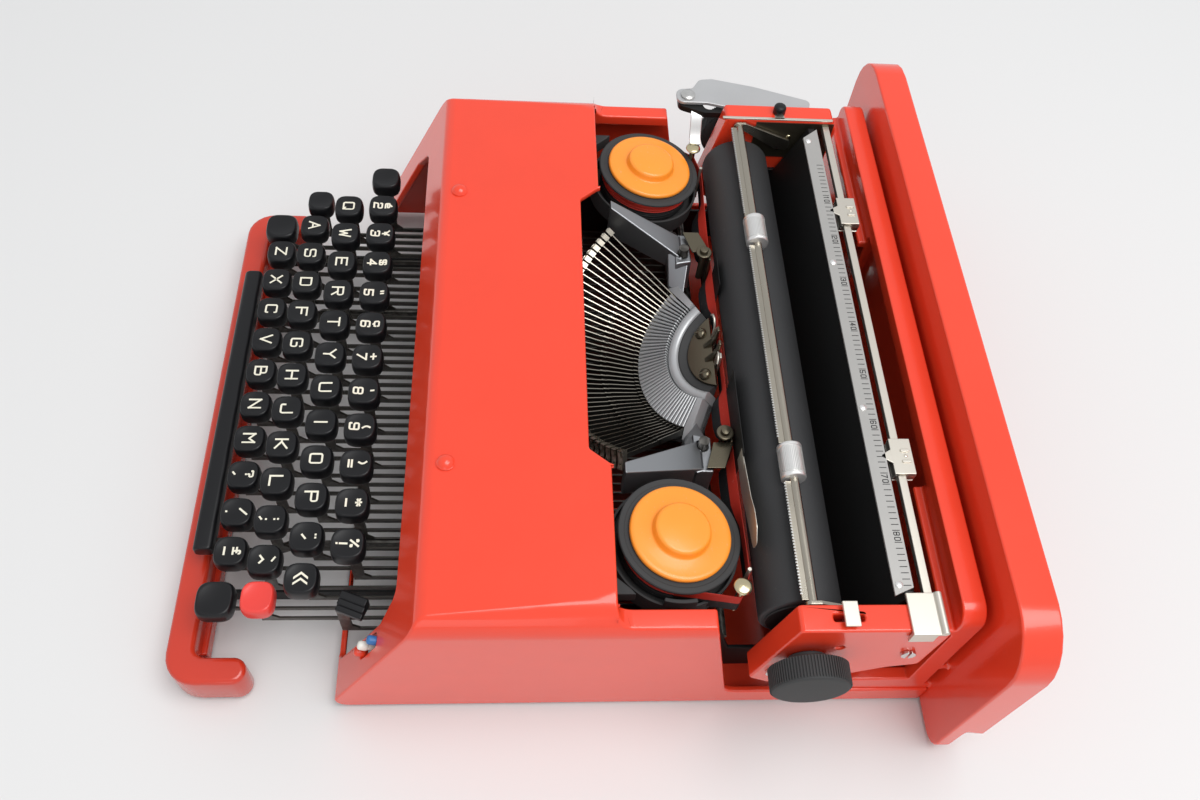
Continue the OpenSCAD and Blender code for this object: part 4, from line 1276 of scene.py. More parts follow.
@dataclass
class Keyboard:
    """Key caps, their legends, the levers and the space bar."""

    pitch: float = 19.0
    fulcrum: Flat = (60.0, 24.0)
    lever_low: float = 20.5
    lever_high: float = 27.5
    lever_thick: float = 1.0
    slim: Flat = (23.6, 26.3)
    slim_from: Flat = (-74.0, -62.0)
    stem: float = 5.0
    h_index: int = 5
    cap: KeyCap = field(default_factory=KeyCap)
    backspace: Point = (112.4, -115.0, 59.5)
    letter: Flat = (4.6, 5.3)
    digit: Flat = (3.2, 4.0)
    sign: Flat = (2.8, 3.2)
    stroke: float = 0.84
    lever_edge: float = 0.18
    stem_in_cap: float = 0.6
    rows: tuple[KeyRow, ...] = (
        KeyRow("number", -89.3, -96.0, 68.0, -3.1,
               ("é2", "¥3", "$4", "\"5", "ç6", "+7", "'8", "(9", ")=", "*-", "%!")),
        KeyRow("upper", -96.6, -115.0, 59.5, -5.2,
               ("Q", "W", "E", "R", "T", "Y", "U", "I", "O", "P", "¨´")),
        KeyRow("home", -89.7, -133.0, 51.5, 2.1,
               ("A", "S", "D", "F", "G", "H", "J", "K", "L", ":;", "`^")),
        KeyRow("lower", -78.3, -150.0, 43.5, 0.3,
               ("Z", "X", "C", "V", "B", "N", "M", "?,", "/.", "£-")))

    def build(self) -> None:
        """Make the rows, the single keys and the space bar."""
        for row in self.rows:
            self._row(row)
        self._single("backspace", "backspace_key", "backspace", self.backspace, 107.2, self.cap)
        self._chevrons()
        big = KeyCap(16.6, 16.2, power=3.4)
        self._single("left_shift", "shift_keys", "shift", (-95.5, -152.0, 44.0), -97.0, big)
        self._single("right_shift", "", "shift", (115.0, -153.0, 44.0), 112.0, big)
        self._single("shift_lock", "shift_lock_key", "shift_lock", (-105.0, -131.0, 54.0), -106.6, KeyCap(13.4, 13.4))
        self._single("tab", "tab_key", "tab", (116.7, -134.0, 50.0), 116.6, KeyCap(14.9, 14.2), RED_KEY)
        self._single("margin_release", "margin_release_key", "margin_release", (-109.0, -96.0, 68.0), -111.4,
                     self.cap)
        self._tab_set()
        self._space_bar()

    def _lever_shape(self, y: float, foot: float) -> Build:
        """Draw a lever with its stem at x = 0.

        Args:
            y: Place of the stem.
            foot: Height of the foot of the cap.

        Returns:
            The collector of the lever.
        """
        fy, fz = self.fulcrum
        near, far = self.slim_from
        low, high = self.slim
        outline = [(y - self.stem / 2, low), (near, low), (far, self.lever_low), (fy - 3, self.lever_low)]
        outline += arc((fy, fz), 4.5, -125, 125, 12)
        outline += [(fy - 3, self.lever_high), (far, self.lever_high), (near, high), (y + self.stem / 2 + 3, high),
                    (y + self.stem / 2, high + 3), (y + self.stem / 2, foot), (y - self.stem / 2, foot)]
        half = self.lever_thick / 2
        return Build().prism(outline, -half, half, Axis.X)

    def _row(self, row: KeyRow) -> None:
        """Make the caps, levers and legends of a row, the struck key apart from the rest.

        Args:
            row: The row.
        """
        last, body, node = len(row.legends), row.name + "_row", row.name + "_keys"
        runs = [(0, last, body, node, row.name)]
        if row.name == "home":
            h = self.h_index
            runs = [(0, h, body, node, "home_left"), (h + 1, last, body, "", "home_right"),
                    (h, h + 1, "key_h", "key_h", "struck")]
        for first, end, body, node, name in runs:
            x, step = row.first + self.pitch * first, (self.pitch, 0.0, 0.0)
            caps = Row(end - first, (x, row.y, row.top), step)
            REPEATS.copies(self.cap.shape(), name + "_caps", BLACK_KEY, body, caps, (node,) if node else ())
            lever = self._lever_shape(row.y, row.top - self.cap.tall + self.stem_in_cap)
            levers = Row(end - first, (x + row.lever, 0.0, 0.0), step)
            REPEATS.copies(lever, name + "_levers", LEVER, body, levers, bevel=self.lever_edge)
            legends = Build()
            for k in range(first, end):
                self._legend(legends, row.legends[k], (row.first + self.pitch * k, row.y, row.top))
            legends.piece(name + "_legends", LEGEND, body)

    def _legend(self, into: Build, signs: str, rim: Point) -> None:
        """Lay one sign, or an upper and a lower one, on the dish of a cap.

        Args:
            into: Collector of the legends.
            signs: One sign, or the upper and the lower.
            rim: Middle of the rim of the cap.
        """
        x, y, top = rim
        lines = [(signs, self.letter, 0.0)]
        if len(signs) == 2:
            lines = [(signs[0], self.sign, 2.9), (signs[1], self.digit, -2.4)]
        for sign, size, rise in lines:
            Lettering.draw(into, sign, size, self.stroke, (x, y + rise),
                           lambda u, v: top + self.cap.surface(u - x, v - y) + 0.02)

    def _chevrons(self) -> None:
        """Make the two arrow heads on the backspace key."""
        x, y, top = self.backspace
        sign = Build()
        for shift in (-1.7, 0.9):
            for way in (-1, 1):
                outline = [(shift - 1.2, 0.0), (shift - 0.1, 0.0), (shift + 2.3, way * 3.0), (shift + 1.2, way * 3.0)]
                tops = [(x + u, y + v, top + self.cap.surface(u, v) + 0.07) for u, v in outline]
                sign.loft([[(u, v, z - 0.1) for u, v, z in tops], tops])
        sign.piece("backspace_legend", LEGEND, "backspace")

    def _single(self, name: str, node: str, body: str, rim: Point, slot: float, cap: KeyCap,
                finish: Finish = BLACK_KEY) -> None:
        """Make one key with its lever.

        Args:
            name: Name of the key.
            node: CAD node that it stands for, or nothing.
            body: CAD body that it moves with.
            rim: Middle of the rim of the cap.
            slot: Place of the lever in X.
            cap: The cap.
            finish: Finish of the cap.
        """
        cap.shape().shift(*rim).piece(name + "_cap", finish, body, (node,) if node else ())
        lever = self._lever_shape(rim[1], rim[2] - cap.tall + self.stem_in_cap).shift(slot, 0, 0)
        lever.piece(name + "_lever", LEVER, body, bevel=self.lever_edge)

    def _tab_set(self) -> None:
        """Make the stepped tab set key that sits askew beside the hood's opening."""
        section = rounded([(-4.1, 45.8, 0.5), (4.1, 45.8, 0.5), (4.1, 48.6, 0.7), (2.0, 49.0, 0.3), (1.8, 50.6, 0.6),
                           (-0.3, 50.9, 0.3), (-0.5, 52.4, 0.8), (-4.1, 52.6, 0.9)], 4)
        place = moved(120.6, -94.5, 0.0) @ turned(Axis.Z, -22.0)
        cap = Build().prism(section, -6.1, 6.1, Axis.Y, place)
        cap.piece("tab_set_cap", BLACK_KEY, "tab_set", ("tab_set_key",), 0.5, 3)
        lever = self._lever_shape(-99.0, 46.2).shift(121.4, 0, 0)
        lever.piece("tab_set_lever", LEVER, "tab_set", bevel=self.lever_edge)

    def _space_bar(self) -> None:
        """Make the space bar with its two arms."""
        levels = edge_levels(-70.0, 89.0, 1.2, 1.2, 4)
        rings = []
        for inset, x in levels:
            low, high = 30.0 + inset * 0.6, 37.0 - inset * 0.6
            near, rear = -168.5 + inset, -159.8 - inset
            section = rounded([(near, low, 1.2), (rear, low, 1.2), (rear, high, 2.0), (near, high, 2.6)], 5)
            rings.append([(x, y, z) for y, z in section])
        Build().loft(rings).piece("space_bar_cap", BLACK_KEY, "space", ("space_bar",))
        outline = [(-161, 13), (-138, 13), (-126, 20.5), (60, 20.5), (60, 27.5), (-128, 27.5), (-140, 19.5),
                   (-158.2, 19.5), (-158.2, 30.2), (-163.4, 30.2), (-163.4, 27), (-161, 27)]
        arms = Build()
        for x in (-52.1, 80.9):
            arms.prism(outline, x - 0.6, x + 0.6, Axis.X)
        arms.piece("space_bar_arms", LEVER, "space", bevel=self.lever_edge)


@dataclass
class RibbonGear:
    """Spools with their caps, the ribbon, its guides and the fork that lifts it."""

    spool: Point = (104.5, 40.5, 84.0)
    tilt: float = 7.0
    flange: float = 26.0
    wound: float = 23.0
    cap_radius: float = 21.5
    guide: Point = (52.5, 65.5, 79.0)
    ribbon_y: float = 69.6
    ribbon_low: float = 60.0
    ribbon_wide: float = 13.0
    ribbon_thick: float = 0.15
    pin_radius: float = 1.5
    post_reach: float = 9.5
    post_y: float = 68.1
    slack: float = 24.0
    pins: dict[str, Point] = field(default_factory=lambda: {"left": (-116.5, 64.2, 88.0),
                                                            "right": (129.0, 63.4, 88.0)})

    def build(self) -> None:
        """Make both sides and the stretch in front of the platen."""
        for side in Side:
            self._spool(side)
            self._guide(side)
            self._run(side)
        self._strip()
        self._card_holders()
        refine("ribbon_vibrator", NICKEL, 0.25)
        self._fork()

    def _spool(self, side: Side) -> None:
        """Make one spool: flanges, wound ribbon and orange cap.

        Args:
            side: The side.
        """
        name, f = side.label, self.flange
        body = "spool_" + name
        place = moved(side.value * self.spool[0], *self.spool[1:]) @ turned(Axis.X, -self.tilt)
        flanges = Build()
        for low, high in ((-16.5, -15.3), (-1.5, 0.0)):
            dip = high - 0.25
            profile = [(3.05, low), (f - 0.4, low), (f, low + 0.4), (f, high - 0.4), (f - 0.4, high), (f - 2.4, high),
                       (f - 2.8, dip), (22.0, dip), (3.05, dip)]
            flanges.lathe(profile, place, 72)
        flanges.piece(name + "_spool_flanges", BLACK_SATIN, body, ("ribbon_spool_" + name,))
        for finish, part, low, high in ((INKED, "black", -15.3, -8.5), (INKED_RED, "red", -8.5, -1.5)):
            waves = [(self.wound + 0.25 * math.sin(9.0 * z) * math.cos(2.3 * z), z)
                     for z in (low + (high - low) * k / 24 for k in range(25))]
            Build().lathe([(3.1, low)] + waves + [(3.1, high)], place, 72).piece(
                f"{name}_wound_{part}", finish, body, angle=60)
        r = self.cap_radius
        cap = [(0, 0.05), (r - 0.3, 0.05), (r, 0.4), (r, 1.3), (r - 0.3, 1.9), (r - 0.9, 2.25), (r - 2.0, 2.35),
               (13.0, 2.45), (12.5, 2.65), (12.15, 3.2), (11.9, 5.2), (11.6, 5.9), (11.0, 6.4), (10.2, 6.62),
               (0, 6.75)]
        Build().lathe(cap, place, 96).piece(name + "_orange_cap", ORANGE, body, ("spool_cap_" + name,), angle=60)

    def _guide(self, side: Side) -> None:
        """Make a ribbon guide: a bent bracket with a disc, and the feeler beside the spool.

        Args:
            side: The side.
        """
        name, sign = side.label, side.value
        x, y, z = self.guide
        place = moved(sign * x, y, 0)
        disc = [(0, z - 0.6), (3.6, z - 0.6), (3.9, z - 0.3), (3.9, z + 0.3), (3.6, z + 0.6), (0, z + 0.6)]
        post = [(0, z - 19), (1.6, z - 19), (1.6, z + 1.2), (2.2, z + 1.4), (2.0, z + 2.3), (0, z + 2.5)]
        bracket = Build().lathe(disc, place, 40).lathe(post, place, 20)
        bracket.prism([(sign * (x + 3), y - 5), (sign * (x + 16), y - 9), (sign * (x + 16), y - 1),
                       (sign * (x + 3), y + 4)], z - 4.2, z - 3.2)
        bracket.box((sign * x - 4, y + 2.4, z - 24), (sign * x + 4, y + 3.3, z - 1))
        bracket.piece(name + "_ribbon_guide", BRONZE, "machine", bevel=0.2)
        self._feeler(side)

    def _feeler(self, side: Side) -> None:
        """Make the curved blade and the brass-headed reverse pin beside a spool.

        Args:
            side: The side.
        """
        name, sign = side.label, side.value
        x, y, z = self.spool
        blade = Build()
        inner = arc((sign * x, y), self.flange + 0.8, 90 - sign * 78, 90 - sign * 106, 10)
        outer = arc((sign * x, y), self.flange + 2.6, 90 - sign * 106, 90 - sign * 78, 10)
        blade.prism(inner + outer, z - 9, z - 3.5)
        tip = [(sign * (x + 16), y - 29), (sign * (x + 23), y - 21), (sign * (x + 25.5), y - 19),
               (sign * (x + 25.5), y - 30)]
        blade.prism(tip, z - 8, z - 1.5)
        blade.piece(name + "_spool_feeler", BLACK_SATIN, "machine", bevel=0.5, segments=3)
        px, py, pz = self.pins[name]
        r = self.pin_radius
        pin = [(0, pz - 22), (r, pz - 22), (r, pz - 1.2), (3.4, pz - 1.0), (3.8, pz - 0.5), (3.6, pz + 0.1),
               (2.6, pz + 0.5), (0, pz + 0.7)]
        Build().lathe(pin, moved(px, py, 0), 32).piece(name + "_reverse_pin", BRASS, "machine", angle=50)

    def _route(self, side: Side) -> list[Flat]:
        """Lay the ribbon from a guide, behind a post and round the reverse pin, to its spool.

        Args:
            side: The side.

        Returns:
            The points of the way.
        """
        name, sign = side.label, side.value
        pin = Vector(self.pins[name][:2])
        way = Vector((sign * self.spool[0], self.spool[1])) - pin
        close = self.pin_radius + self.ribbon_thick
        lean = (close - self.wound) / way.length
        along = way.normalized()
        out = along * lean + Vector((-along.y, along.x)) * sign * math.sqrt(1 - lean * lean)
        first, last = 90 - sign * 23, math.degrees(math.atan2(out.y, out.x))
        post = (pin.x - sign * self.post_reach, self.post_y + 0.9)
        wrap = arc(tuple(pin), close, first, last, 6)
        corners = [(sign * self.guide[0], self.ribbon_y), post] + wrap + [tuple(pin + way + out * (self.wound + 0.3))]
        route = []
        for here, there in zip(corners, corners[1:]):
            pieces = max(1, round(math.dist(here, there) / 5.0))
            route += [tuple(Vector(here).lerp(Vector(there), k / pieces)) for k in range(pieces)]
        return route + [corners[-1]]

    def _band(self, name: str, path: list[Point], body: str | None) -> Piece:
        """Make a thin two-colour ribbon, black below and red above.

        Args:
            name: Name of the piece.
            path: Its x, y and lower edge.
            body: CAD body that it moves with, or None to leave it on no body.

        Returns:
            The piece.
        """
        half, t = self.ribbon_wide / 2, self.ribbon_thick
        rings = []
        for i, (x, y, low) in enumerate(path):
            ahead, behind = path[min(i + 1, len(path) - 1)], path[max(i - 1, 0)]
            along = Vector((ahead[0] - behind[0], ahead[1] - behind[1])).normalized()
            nx, ny = -along.y * t / 2, along.x * t / 2
            lean = self._lean(x)
            drops = [(d * math.sin(lean), low + 2 * half - d * math.cos(lean)) for d in (2 * half, half, 0.0)]
            front = [(x + nx, y + ny - f, h) for f, h in drops]
            rings.append(front + [(x - nx, y - ny - f, h) for f, h in reversed(drops)])
        mesh = Build().loft(rings).mesh(name, INKED)
        mesh.materials.append(INKED_RED.material())
        for face in mesh.polygons:
            ring = min(path, key=lambda p: (p[0] * MM - face.center.x) ** 2 + (p[1] * MM - face.center.y) ** 2)
            face.material_index = 1 if face.center.z > (ring[2] + half) * MM else 0
        if body:
            return finish_object(mesh, name, body, ("ribbon",))
        return placed(name, mesh)

    def _lean(self, x: float) -> float:
        """Find how far the ribbon hangs forward; it stands upright at its holders.

        Args:
            x: Place across the machine.

        Returns:
            The angle in radians.
        """
        def rise(low: float, high: float) -> float:
            """Return a smooth step from 0 to 1 between two distances from the middle."""
            t = min(1.0, max(0.0, (abs(x) - low) / (high - low)))
            return t * t * (3 - 2 * t)
        return math.radians(self.slack) * (rise(21, 28) - rise(42, 48) + rise(57, 64) - rise(84, 94))

    def _strip(self) -> None:
        """Make the ribbon in front of the platen."""
        x = self.guide[0]
        path = [(-x + 2 * x * k / 24, self.ribbon_y, self.ribbon_low) for k in range(25)]
        strip = self._band("ribbon_strip", path, "ribbon_lift")

    def _run(self, side: Side) -> None:
        """Make the ribbon from a guide to its spool; it rides on no body.

        Args:
            side: The side.
        """
        name = side.label
        route = self._route(side)
        travel = [0.0]
        for here, there in zip(route, route[1:]):
            travel.append(travel[-1] + math.dist(here, there))
        rise = self.spool[2] - 15.3 - self.ribbon_low
        path = [(x, y, self.ribbon_low + rise * t * t * (3 - 2 * t))
                for (x, y), t in zip(route, (d / travel[-1] for d in travel))]
        run = self._band(name + "_ribbon_run", path, None)
        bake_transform(run)

    def _card_holders(self) -> None:
        """Make the black card plates behind the ribbon, and the nickel paper finger."""
        rear, thin = 69.72, 0.23
        cards = Build()
        for low, high, top in ((-44.0, -26.0, 86.0), (26.0, 69.8, 91.0)):
            cards.box((low, rear, 55.0), (high, rear + thin, top))
        for side in (-1, 1):
            cards.box((side * 40.0, 67.9, 55.0), (side * 56.5, rear, 57.5))
        cards.piece("card_plates", LACQUER, "machine")
        outline = rounded([(70.0, 78.0, 1.0), (82.0, 78.0, 2.0), (112.0, 86.0, 2.5), (113.0, 92.5, 2.5),
                           (107.0, 96.5, 3.0), (99.0, 96.0, 3.0), (92.0, 93.0, 4.0), (70.0, 89.0, 1.0)])
        finger = Build().prism(outline, rear, rear + thin, Axis.Y)
        finger.box((66.0, rear - 0.1, 78.5), (74.0, rear, 88.5))
        for px, _, pz in self.pins.values():
            post = px - math.copysign(self.post_reach, px)
            finger.rod((post, self.post_y, pz - 26), (post, self.post_y, pz - 5), 0.8, 12)
        finger.piece("paper_finger", NICKEL, "machine")

    def _fork(self) -> None:
        """Make the bronze fork and the wire hooks that hold the ribbon at the printing point."""
        wires, fork = Build(), Build()
        for side in (-1, 1):
            wires.tube([(side * 7.5, 67.2, 62.0), (side * 7.6, 67.0, 75.5), (side * 8.4, 66.8, 78.4),
                        (side * 10.4, 66.5, 80.0), (side * 12.8, 66.2, 79.6), (side * 14.2, 66.0, 77.6)], 0.6, 8)
            fork.prism([(60.5, 62.0), (63.0, 62.0), (67.4, 70.0), (68.4, 74.0), (68.4, 80.6), (67.2, 80.6),
                        (67.0, 74.6), (65.8, 70.8)], side * 2.6, side * 5.4, Axis.X)
        wires.piece("ribbon_hooks", NICKEL, "ribbon_lift", angle=60)
        fork.piece("type_fork", BRONZE, "basket", bevel=0.4, segments=3)


class BarPart(Enum):
    """The parts of a typebar that differ in finish: sides darkened as painted shade, and the bright nickel edges and
    slug.
    """

    SIDES = "sides"
    BRIGHT = "edges"


@dataclass
class TypeBasket:
    """The slotted segment, its typebars and the guide plate."""

    centre: Point = (0.0, 72.0, 74.5)
    tilt: float = 36.0
    count: int = 44
    fan: float = 116.0
    spare: float = 6.0
    pivot: float = 47.0
    lift: float = 49.0
    struck: int = 22
    slit: float = 0.7
    guide: float = 21.5
    rim: Flat = (26.0, 31.0)
    band: float = 46.4
    outer: float = 52.0

    def build(self) -> None:
        """Make the basket's pieces."""
        self._arms()
        self._band()
        rim = [(26.0, -7), (26.0, -0.4), (26.5, 0.5), (27.4, 1.1), (28.6, 1.4), (29.8, 1.35), (30.5, 1.1),
               (30.75, 0.5), (30.75, -7)]
        self._sweep(rim, -self.half(), self.half()).piece("segment_rim", BRIGHT_CAST, "basket", angle=60)
        self._typebars()
        self._guide_plate()

    def half(self) -> float:
        """Return half the angle of the segment in degrees."""
        return self.fan / 2 + self.spare

    def _place(self) -> Matrix:
        """Return the frame of the segment."""
        return moved(*self.centre) @ turned(Axis.X, self.tilt)

    def _sweep(self, section: list[Flat], first: float, last: float, into: Build | None = None) -> Build:
        """Carry a section round the segment.

        Args:
            section: Radius and height of its points.
            first: First angle from the middle in degrees.
            last: Last angle.
            into: Collector to add to.

        Returns:
            The collector.
        """
        angles = [math.radians(first + (last - first) * k / 48 - 90) for k in range(49)]
        return (into or Build()).loft([[(r * math.cos(a), r * math.sin(a), z) for r, z in section] for a in angles],
                                      self._place())

    def _arms(self) -> None:
        """Make the two cast arms beside the segment, and the webs that join them to it."""
        arms = Build().copy_of("type_segment")
        inside = self._place().inverted()
        ring = [v for v in arms.bm.verts if (inside @ v.co).to_2d().length < self.outer + 0.2]
        bmesh.ops.delete(arms.bm, geom=ring, context="VERTS")
        for side in (-1, 1):
            foot = [(side * 37.0, 56.0, 64.0), (side * 45.5, 49.5, 60.0), (side * 45.5, 49.5, 57.0),
                    (side * 37.0, 56.0, 58.0)]
            head = [(side * 54.0, 59.0, 72.5), (side * 58.5, 48.0, 74.8), (side * 58.5, 48.0, 69.0),
                    (side * 54.0, 59.0, 66.0)]
            arms.loft([foot, head])
        arms.piece("segment_arms", CASTING, "basket", ("type_segment",), bevel=0.7, segments=3)

    def _band(self) -> None:
        """Make the band of fine slots: a black floor under the slots as painted shade, two end blocks and the teeth
        between the slots.
        """
        low, inner = -7.0, self.rim[1]
        floor = [(inner, low), (self.outer, low), (self.outer, -3.4), (inner, -3.4)]
        # Painted shade: the floor is part of the same casting as the teeth, made black for the shade down in the
        # slots and under the bars.
        self._sweep(floor, -self.half(), self.half()).piece("segment_floor", BLACK_SATIN, "basket")
        ends = Build()
        for side in (-1, 1):
            self._sweep([(inner, low), (self.outer, low), (self.outer, 1.0), (self.band, 3.0), (inner, 3.0)],
                        side * (self.fan / 2 + 0.6), side * self.half(), ends)
        ends.piece("segment_ends", BRIGHT_CAST, "basket")
        step = self.fan / (self.count - 1)
        levels = ((0.0, -3.4), (0.0, 2.75), (0.22, 3.0))
        rings = []
        for inset, z in levels:
            near, far = inner + inset, self.band - inset
            a, b = ((r * math.radians(step) - self.slit) / 2 - inset for r in (near, far))
            rings.append([(-a, -near, z), (a, -near, z), (b, -far, z), (-b, -far, z)])
        tooth = Build().loft(rings, turned(Axis.X, self.tilt))
        teeth = Ring(self.count - 1, self.centre, self._axis(), -step * (self.count - 2) / 2, step)
        REPEATS.copies(tooth, "segment_teeth", BRIGHT_CAST, "basket", teeth)

    def _axis(self) -> Point:
        """Return the axis of the fan."""
        lean = math.radians(self.tilt)
        return (0.0, -math.sin(lean), math.cos(lean))

    def _bar(self, part: BarPart) -> Build:
        """Draw a part of a jogged typebar, turned as in the machine, about the centre of the basket.

        Args:
            part: The part.

        Returns:
            The collector of the part.
        """
        place = turned(Axis.X, self.tilt) @ moved(0, -self.pivot, 0) @ turned(Axis.X, -self.lift)
        bar = Build()
        for first, last, low, high, left, right in (
                (-45.6, -19.0, -1.2, 1.0, -0.05, 0.55), (-21.0, -18.0, -1.2, 1.2, -0.3, 0.55),
                (-20.0, -3.0, -1.4, 1.2, -0.3, 0.28), (-4.0, 1.6, -1.9, 1.7, -0.3, 0.3)):
            if part is BarPart.SIDES:
                bar.box((left, first, low), (right, last, high), place)
            else:
                bar.box((left + 0.1, first, high - 0.1), (right - 0.1, last, high + 0.06), place)
        if part is BarPart.BRIGHT:
            slug = [(-47.0, -5.2), (-46.2, -5.5), (-43.2, -5.0), (-43.2, 3.2), (-46.2, 3.5), (-47.0, 3.2),
                    (-46.4, 0.4), (-46.4, -1.6)]
            bar.prism(slug, -1.25, 1.25, Axis.X, place)
            for low in (-4.3, 1.0):
                bar.box((-0.7, -47.3, low), (0.7, -46.7, low + 1.6), place)
        return bar

    def _typebars(self) -> None:
        """Make the typebars and the one that strikes, sides darkened as painted shade apart from bright edges."""
        step = self.fan / (self.count - 1)
        middle = (self.count - 1) / 2
        for name, first, last, body, nodes in (
                ("left_typebars", 0, self.struck, "basket", ("typebars",)),
                ("right_typebars", self.struck + 1, self.count, "basket", ()),
                ("struck_typebar", self.struck, self.struck + 1, "typebar", ("typebar_h",))):
            bars = Ring(last - first, self.centre, self._axis(), step * (first - middle), step)
            for part, finish, stands_for in ((BarPart.SIDES, TYPEBAR_PAINTED_SHADE, nodes), (BarPart.BRIGHT, TYPE_STEEL, ())):
                REPEATS.copies(self._bar(part), f"{name}_{part.value}", finish, body, bars, stands_for)

    def _guide_plate(self) -> None:
        """Make the dark slope inside the segment and the bronze plate with its two screws."""
        slope = [(self.guide - 2, -5), (26.0, -5), (26.0, -0.6), (25.2, -0.4), (self.guide, -3.0)]
        self._sweep(slope, -self.half(), self.half()).piece("segment_slope", BLACK_SATIN, "basket")
        side = math.degrees(math.acos(8.0 / self.guide))
        outline = arc((0.0, 0.0), self.guide, -90 - side, -90 + side, 32)
        plate = Build().prism(outline, -3.6, -1.6, Axis.Z, self._place())
        plate.piece("guide_plate", BRONZE, "basket", ("type_guide",), bevel=0.4, segments=3)
        heads = Build()
        for side in (-1, 1):
            place = self._place() @ moved(side * 12, -13, -1.7)
            heads.lathe([(0, 0), (2.9, 0), (3.0, 0.6), (2.4, 1.7), (1.2, 2.2), (0, 2.3)], place, 28)
            heads.box((-0.35, -2.4, 1.9), (0.35, 2.4, 2.35), place)
        heads.piece("guide_plate_screws", BRONZE, "basket", angle=50)


@dataclass
class Carriage:
    """The carriage with its platen, bail, scale, stops and levers."""

    middle: float = 10.0
    half: float = 132.8
    plate: float = 11.0
    top: float = 103.0
    platen: Flat = (88.0, 76.5)
    platen_radius: float = 17.0
    platen_half: float = 127.8
    knob_inner: float = 147.8
    knob_radius: float = 16.0
    knob_length: float = 10.0
    knob_ribs: int = 84
    bail: Flat = (87.0, 99.1)
    bail_pitch: float = 1.3
    roller_radius: float = 5.3
    roller_ribs: int = 44
    rollers: tuple[tuple[str, float], ...] = (("left", -48.5), ("right", 79.1))
    scale_zero: float = -95.0
    scale_pitch: float = 2.61
    scale_front: float = 119.0
    scale_top: float = 101.6
    stops: tuple[tuple[str, float], ...] = (("left", -61.7), ("right", 76.9))
    lever_pivot: Point = (-144.0, 62.0, 99.1)
    stop_half: float = 8.5
    stop_wall: float = 1.4
    stop_heights: Flat = (95.4, 101.6)
    stop_depths: Flat = (129.4, 138.5)
    rack_teeth: int = 100
    rack_pitch: float = 2.4
    rack_start: Point = (-119.0, 128.0, 90.0)
    rack_rod: Flat = (130.6, 90.0)
    spring_rod: Flat = (131.5, 82.0)

    def build(self) -> None:
        """Make every piece of the carriage."""
        for node, finish, bevel, segments in (
                ("end_plate_left", RED, 1.0, 3), ("end_plate_right", RED, 1.0, 3),
                ("carriage_frame", LACQUER, 0.2, 2), ("paper_table", LACQUER, 0.3, 2),
                ("margin_rail", NICKEL, 0.35, 2), ("carriage_screws", STEEL, 0.25, 2),
                ("platen_shaft", STEEL, 0.4, 2), ("ratchet_wheel", STEEL, 0.1, 1), ("feed_rollers", RUBBER, 0.5, 2),
                ("paper_bail", TYPE_STEEL, 0.2, 2), ("return_lever", GREY_LEVER, 0.5, 3),
                ("paper_release", NICKEL, 0.4, 3), ("carriage_release", NICKEL, 0.4, 3)):
            refine(node, finish, bevel, segments)
        self._platen()
        for side in (Side.RIGHT, Side.LEFT):
            self._knob(side)
        self._bail_scale()
        for name, x in self.rollers:
            self._bail_roller(name, x)
        self._scale_marks()
        for name, x in self.stops:
            self._margin_stop(name, x)
        self._line_space_knob()
        self._left_linkage()
        self._rack()

    def _platen(self) -> None:
        """Make the rubber platen with its end collars."""
        y, z = self.platen
        place = moved(self.middle, y, z) @ TO_X
        h, r = self.platen_half, self.platen_radius
        roller = [(3.1, -h), (r - 1.2, -h), (r - 0.3, 0.4 - h), (r, 1.2 - h), (r, h - 1.2), (r - 0.3, h - 0.4),
                  (r - 1.2, h), (3.1, h)]
        Build().lathe(roller, place, 96).piece("platen_roller", RUBBER, "platen_roll", ("platen",), angle=50)
        collars = Build()
        for low in (-h - 0.9, h + 0.05):
            high = low + 0.85
            collars.lathe([(3.1, low), (r - 2.6, low), (r - 2.2, low + 0.4), (r - 2.6, high), (3.1, high)], place, 64)
        collars.piece("platen_collars", LACQUER, "platen_roll")

    def _knob(self, side: Side) -> None:
        """Make a platen knob with a ribbed rim.

        Args:
            side: The side.
        """
        name, sign = side.label, side.value
        y, z = self.platen
        centre, turn = (self.middle + sign * self.knob_inner, y, z), turned(Axis.Y, 90 * sign)
        r, long = self.knob_radius, self.knob_length
        profile = [(3.1, -3.6), (7.6, -3.6), (8.0, -3.2), (8.0, 0.0), (r - 1.6, 0.0), (r - 0.6, 0.5),
                   (r - 0.6, long - 1.0), (r - 0.9, long - 0.4), (r - 1.6, long - 0.1), (r - 2.6, long), (0, long)]
        knob = Build().lathe(profile, moved(*centre) @ turn, 96)
        knob.piece(name + "_knob", BLACK_SATIN, "platen_roll", ("knob_" + name,), angle=40)
        rib = Build().box((r - 0.9, -0.32, 0.6), (r - 0.05, 0.32, long - 0.9))
        bmesh.ops.transform(rib.bm, matrix=turn, verts=rib.bm.verts)
        ribs = Ring(self.knob_ribs, centre, (1.0, 0.0, 0.0), 0.0, 360 / self.knob_ribs)
        REPEATS.copies(rib, name + "_knob_ribs", BLACK_SATIN, "platen_roll", ribs, bevel=0.15)

    def _bail_scale(self) -> None:
        """Make the flat scale strip along the bail rod, in three stretches between the rollers."""
        y, z = self.bail
        ends = [self.middle - self.half + 3]
        for _, x in self.rollers:
            ends += [x - 9.0, x + 9.0]
        ends.append(self.middle + self.half - 3)
        strip = Build()
        for k, (first, last) in enumerate(zip(ends[::2], ends[1::2])):
            strip.box((first, y - 4.3, z + 0.1), (last, y + 0.4, z + 0.9))
            tooth = Build().box((-0.3, -0.35, 0.15), (0.3, 0.5, 0.95))
            count = int((last - first - 2) / self.bail_pitch)
            teeth = Row(count, (first + 1, y - 4.3, z), (self.bail_pitch, 0.0, 0.0))
            REPEATS.copies(tooth, f"bail_teeth_{k}", STEEL, "bail", teeth)
        strip.piece("bail_strip", TYPE_STEEL, "bail", bevel=0.2)

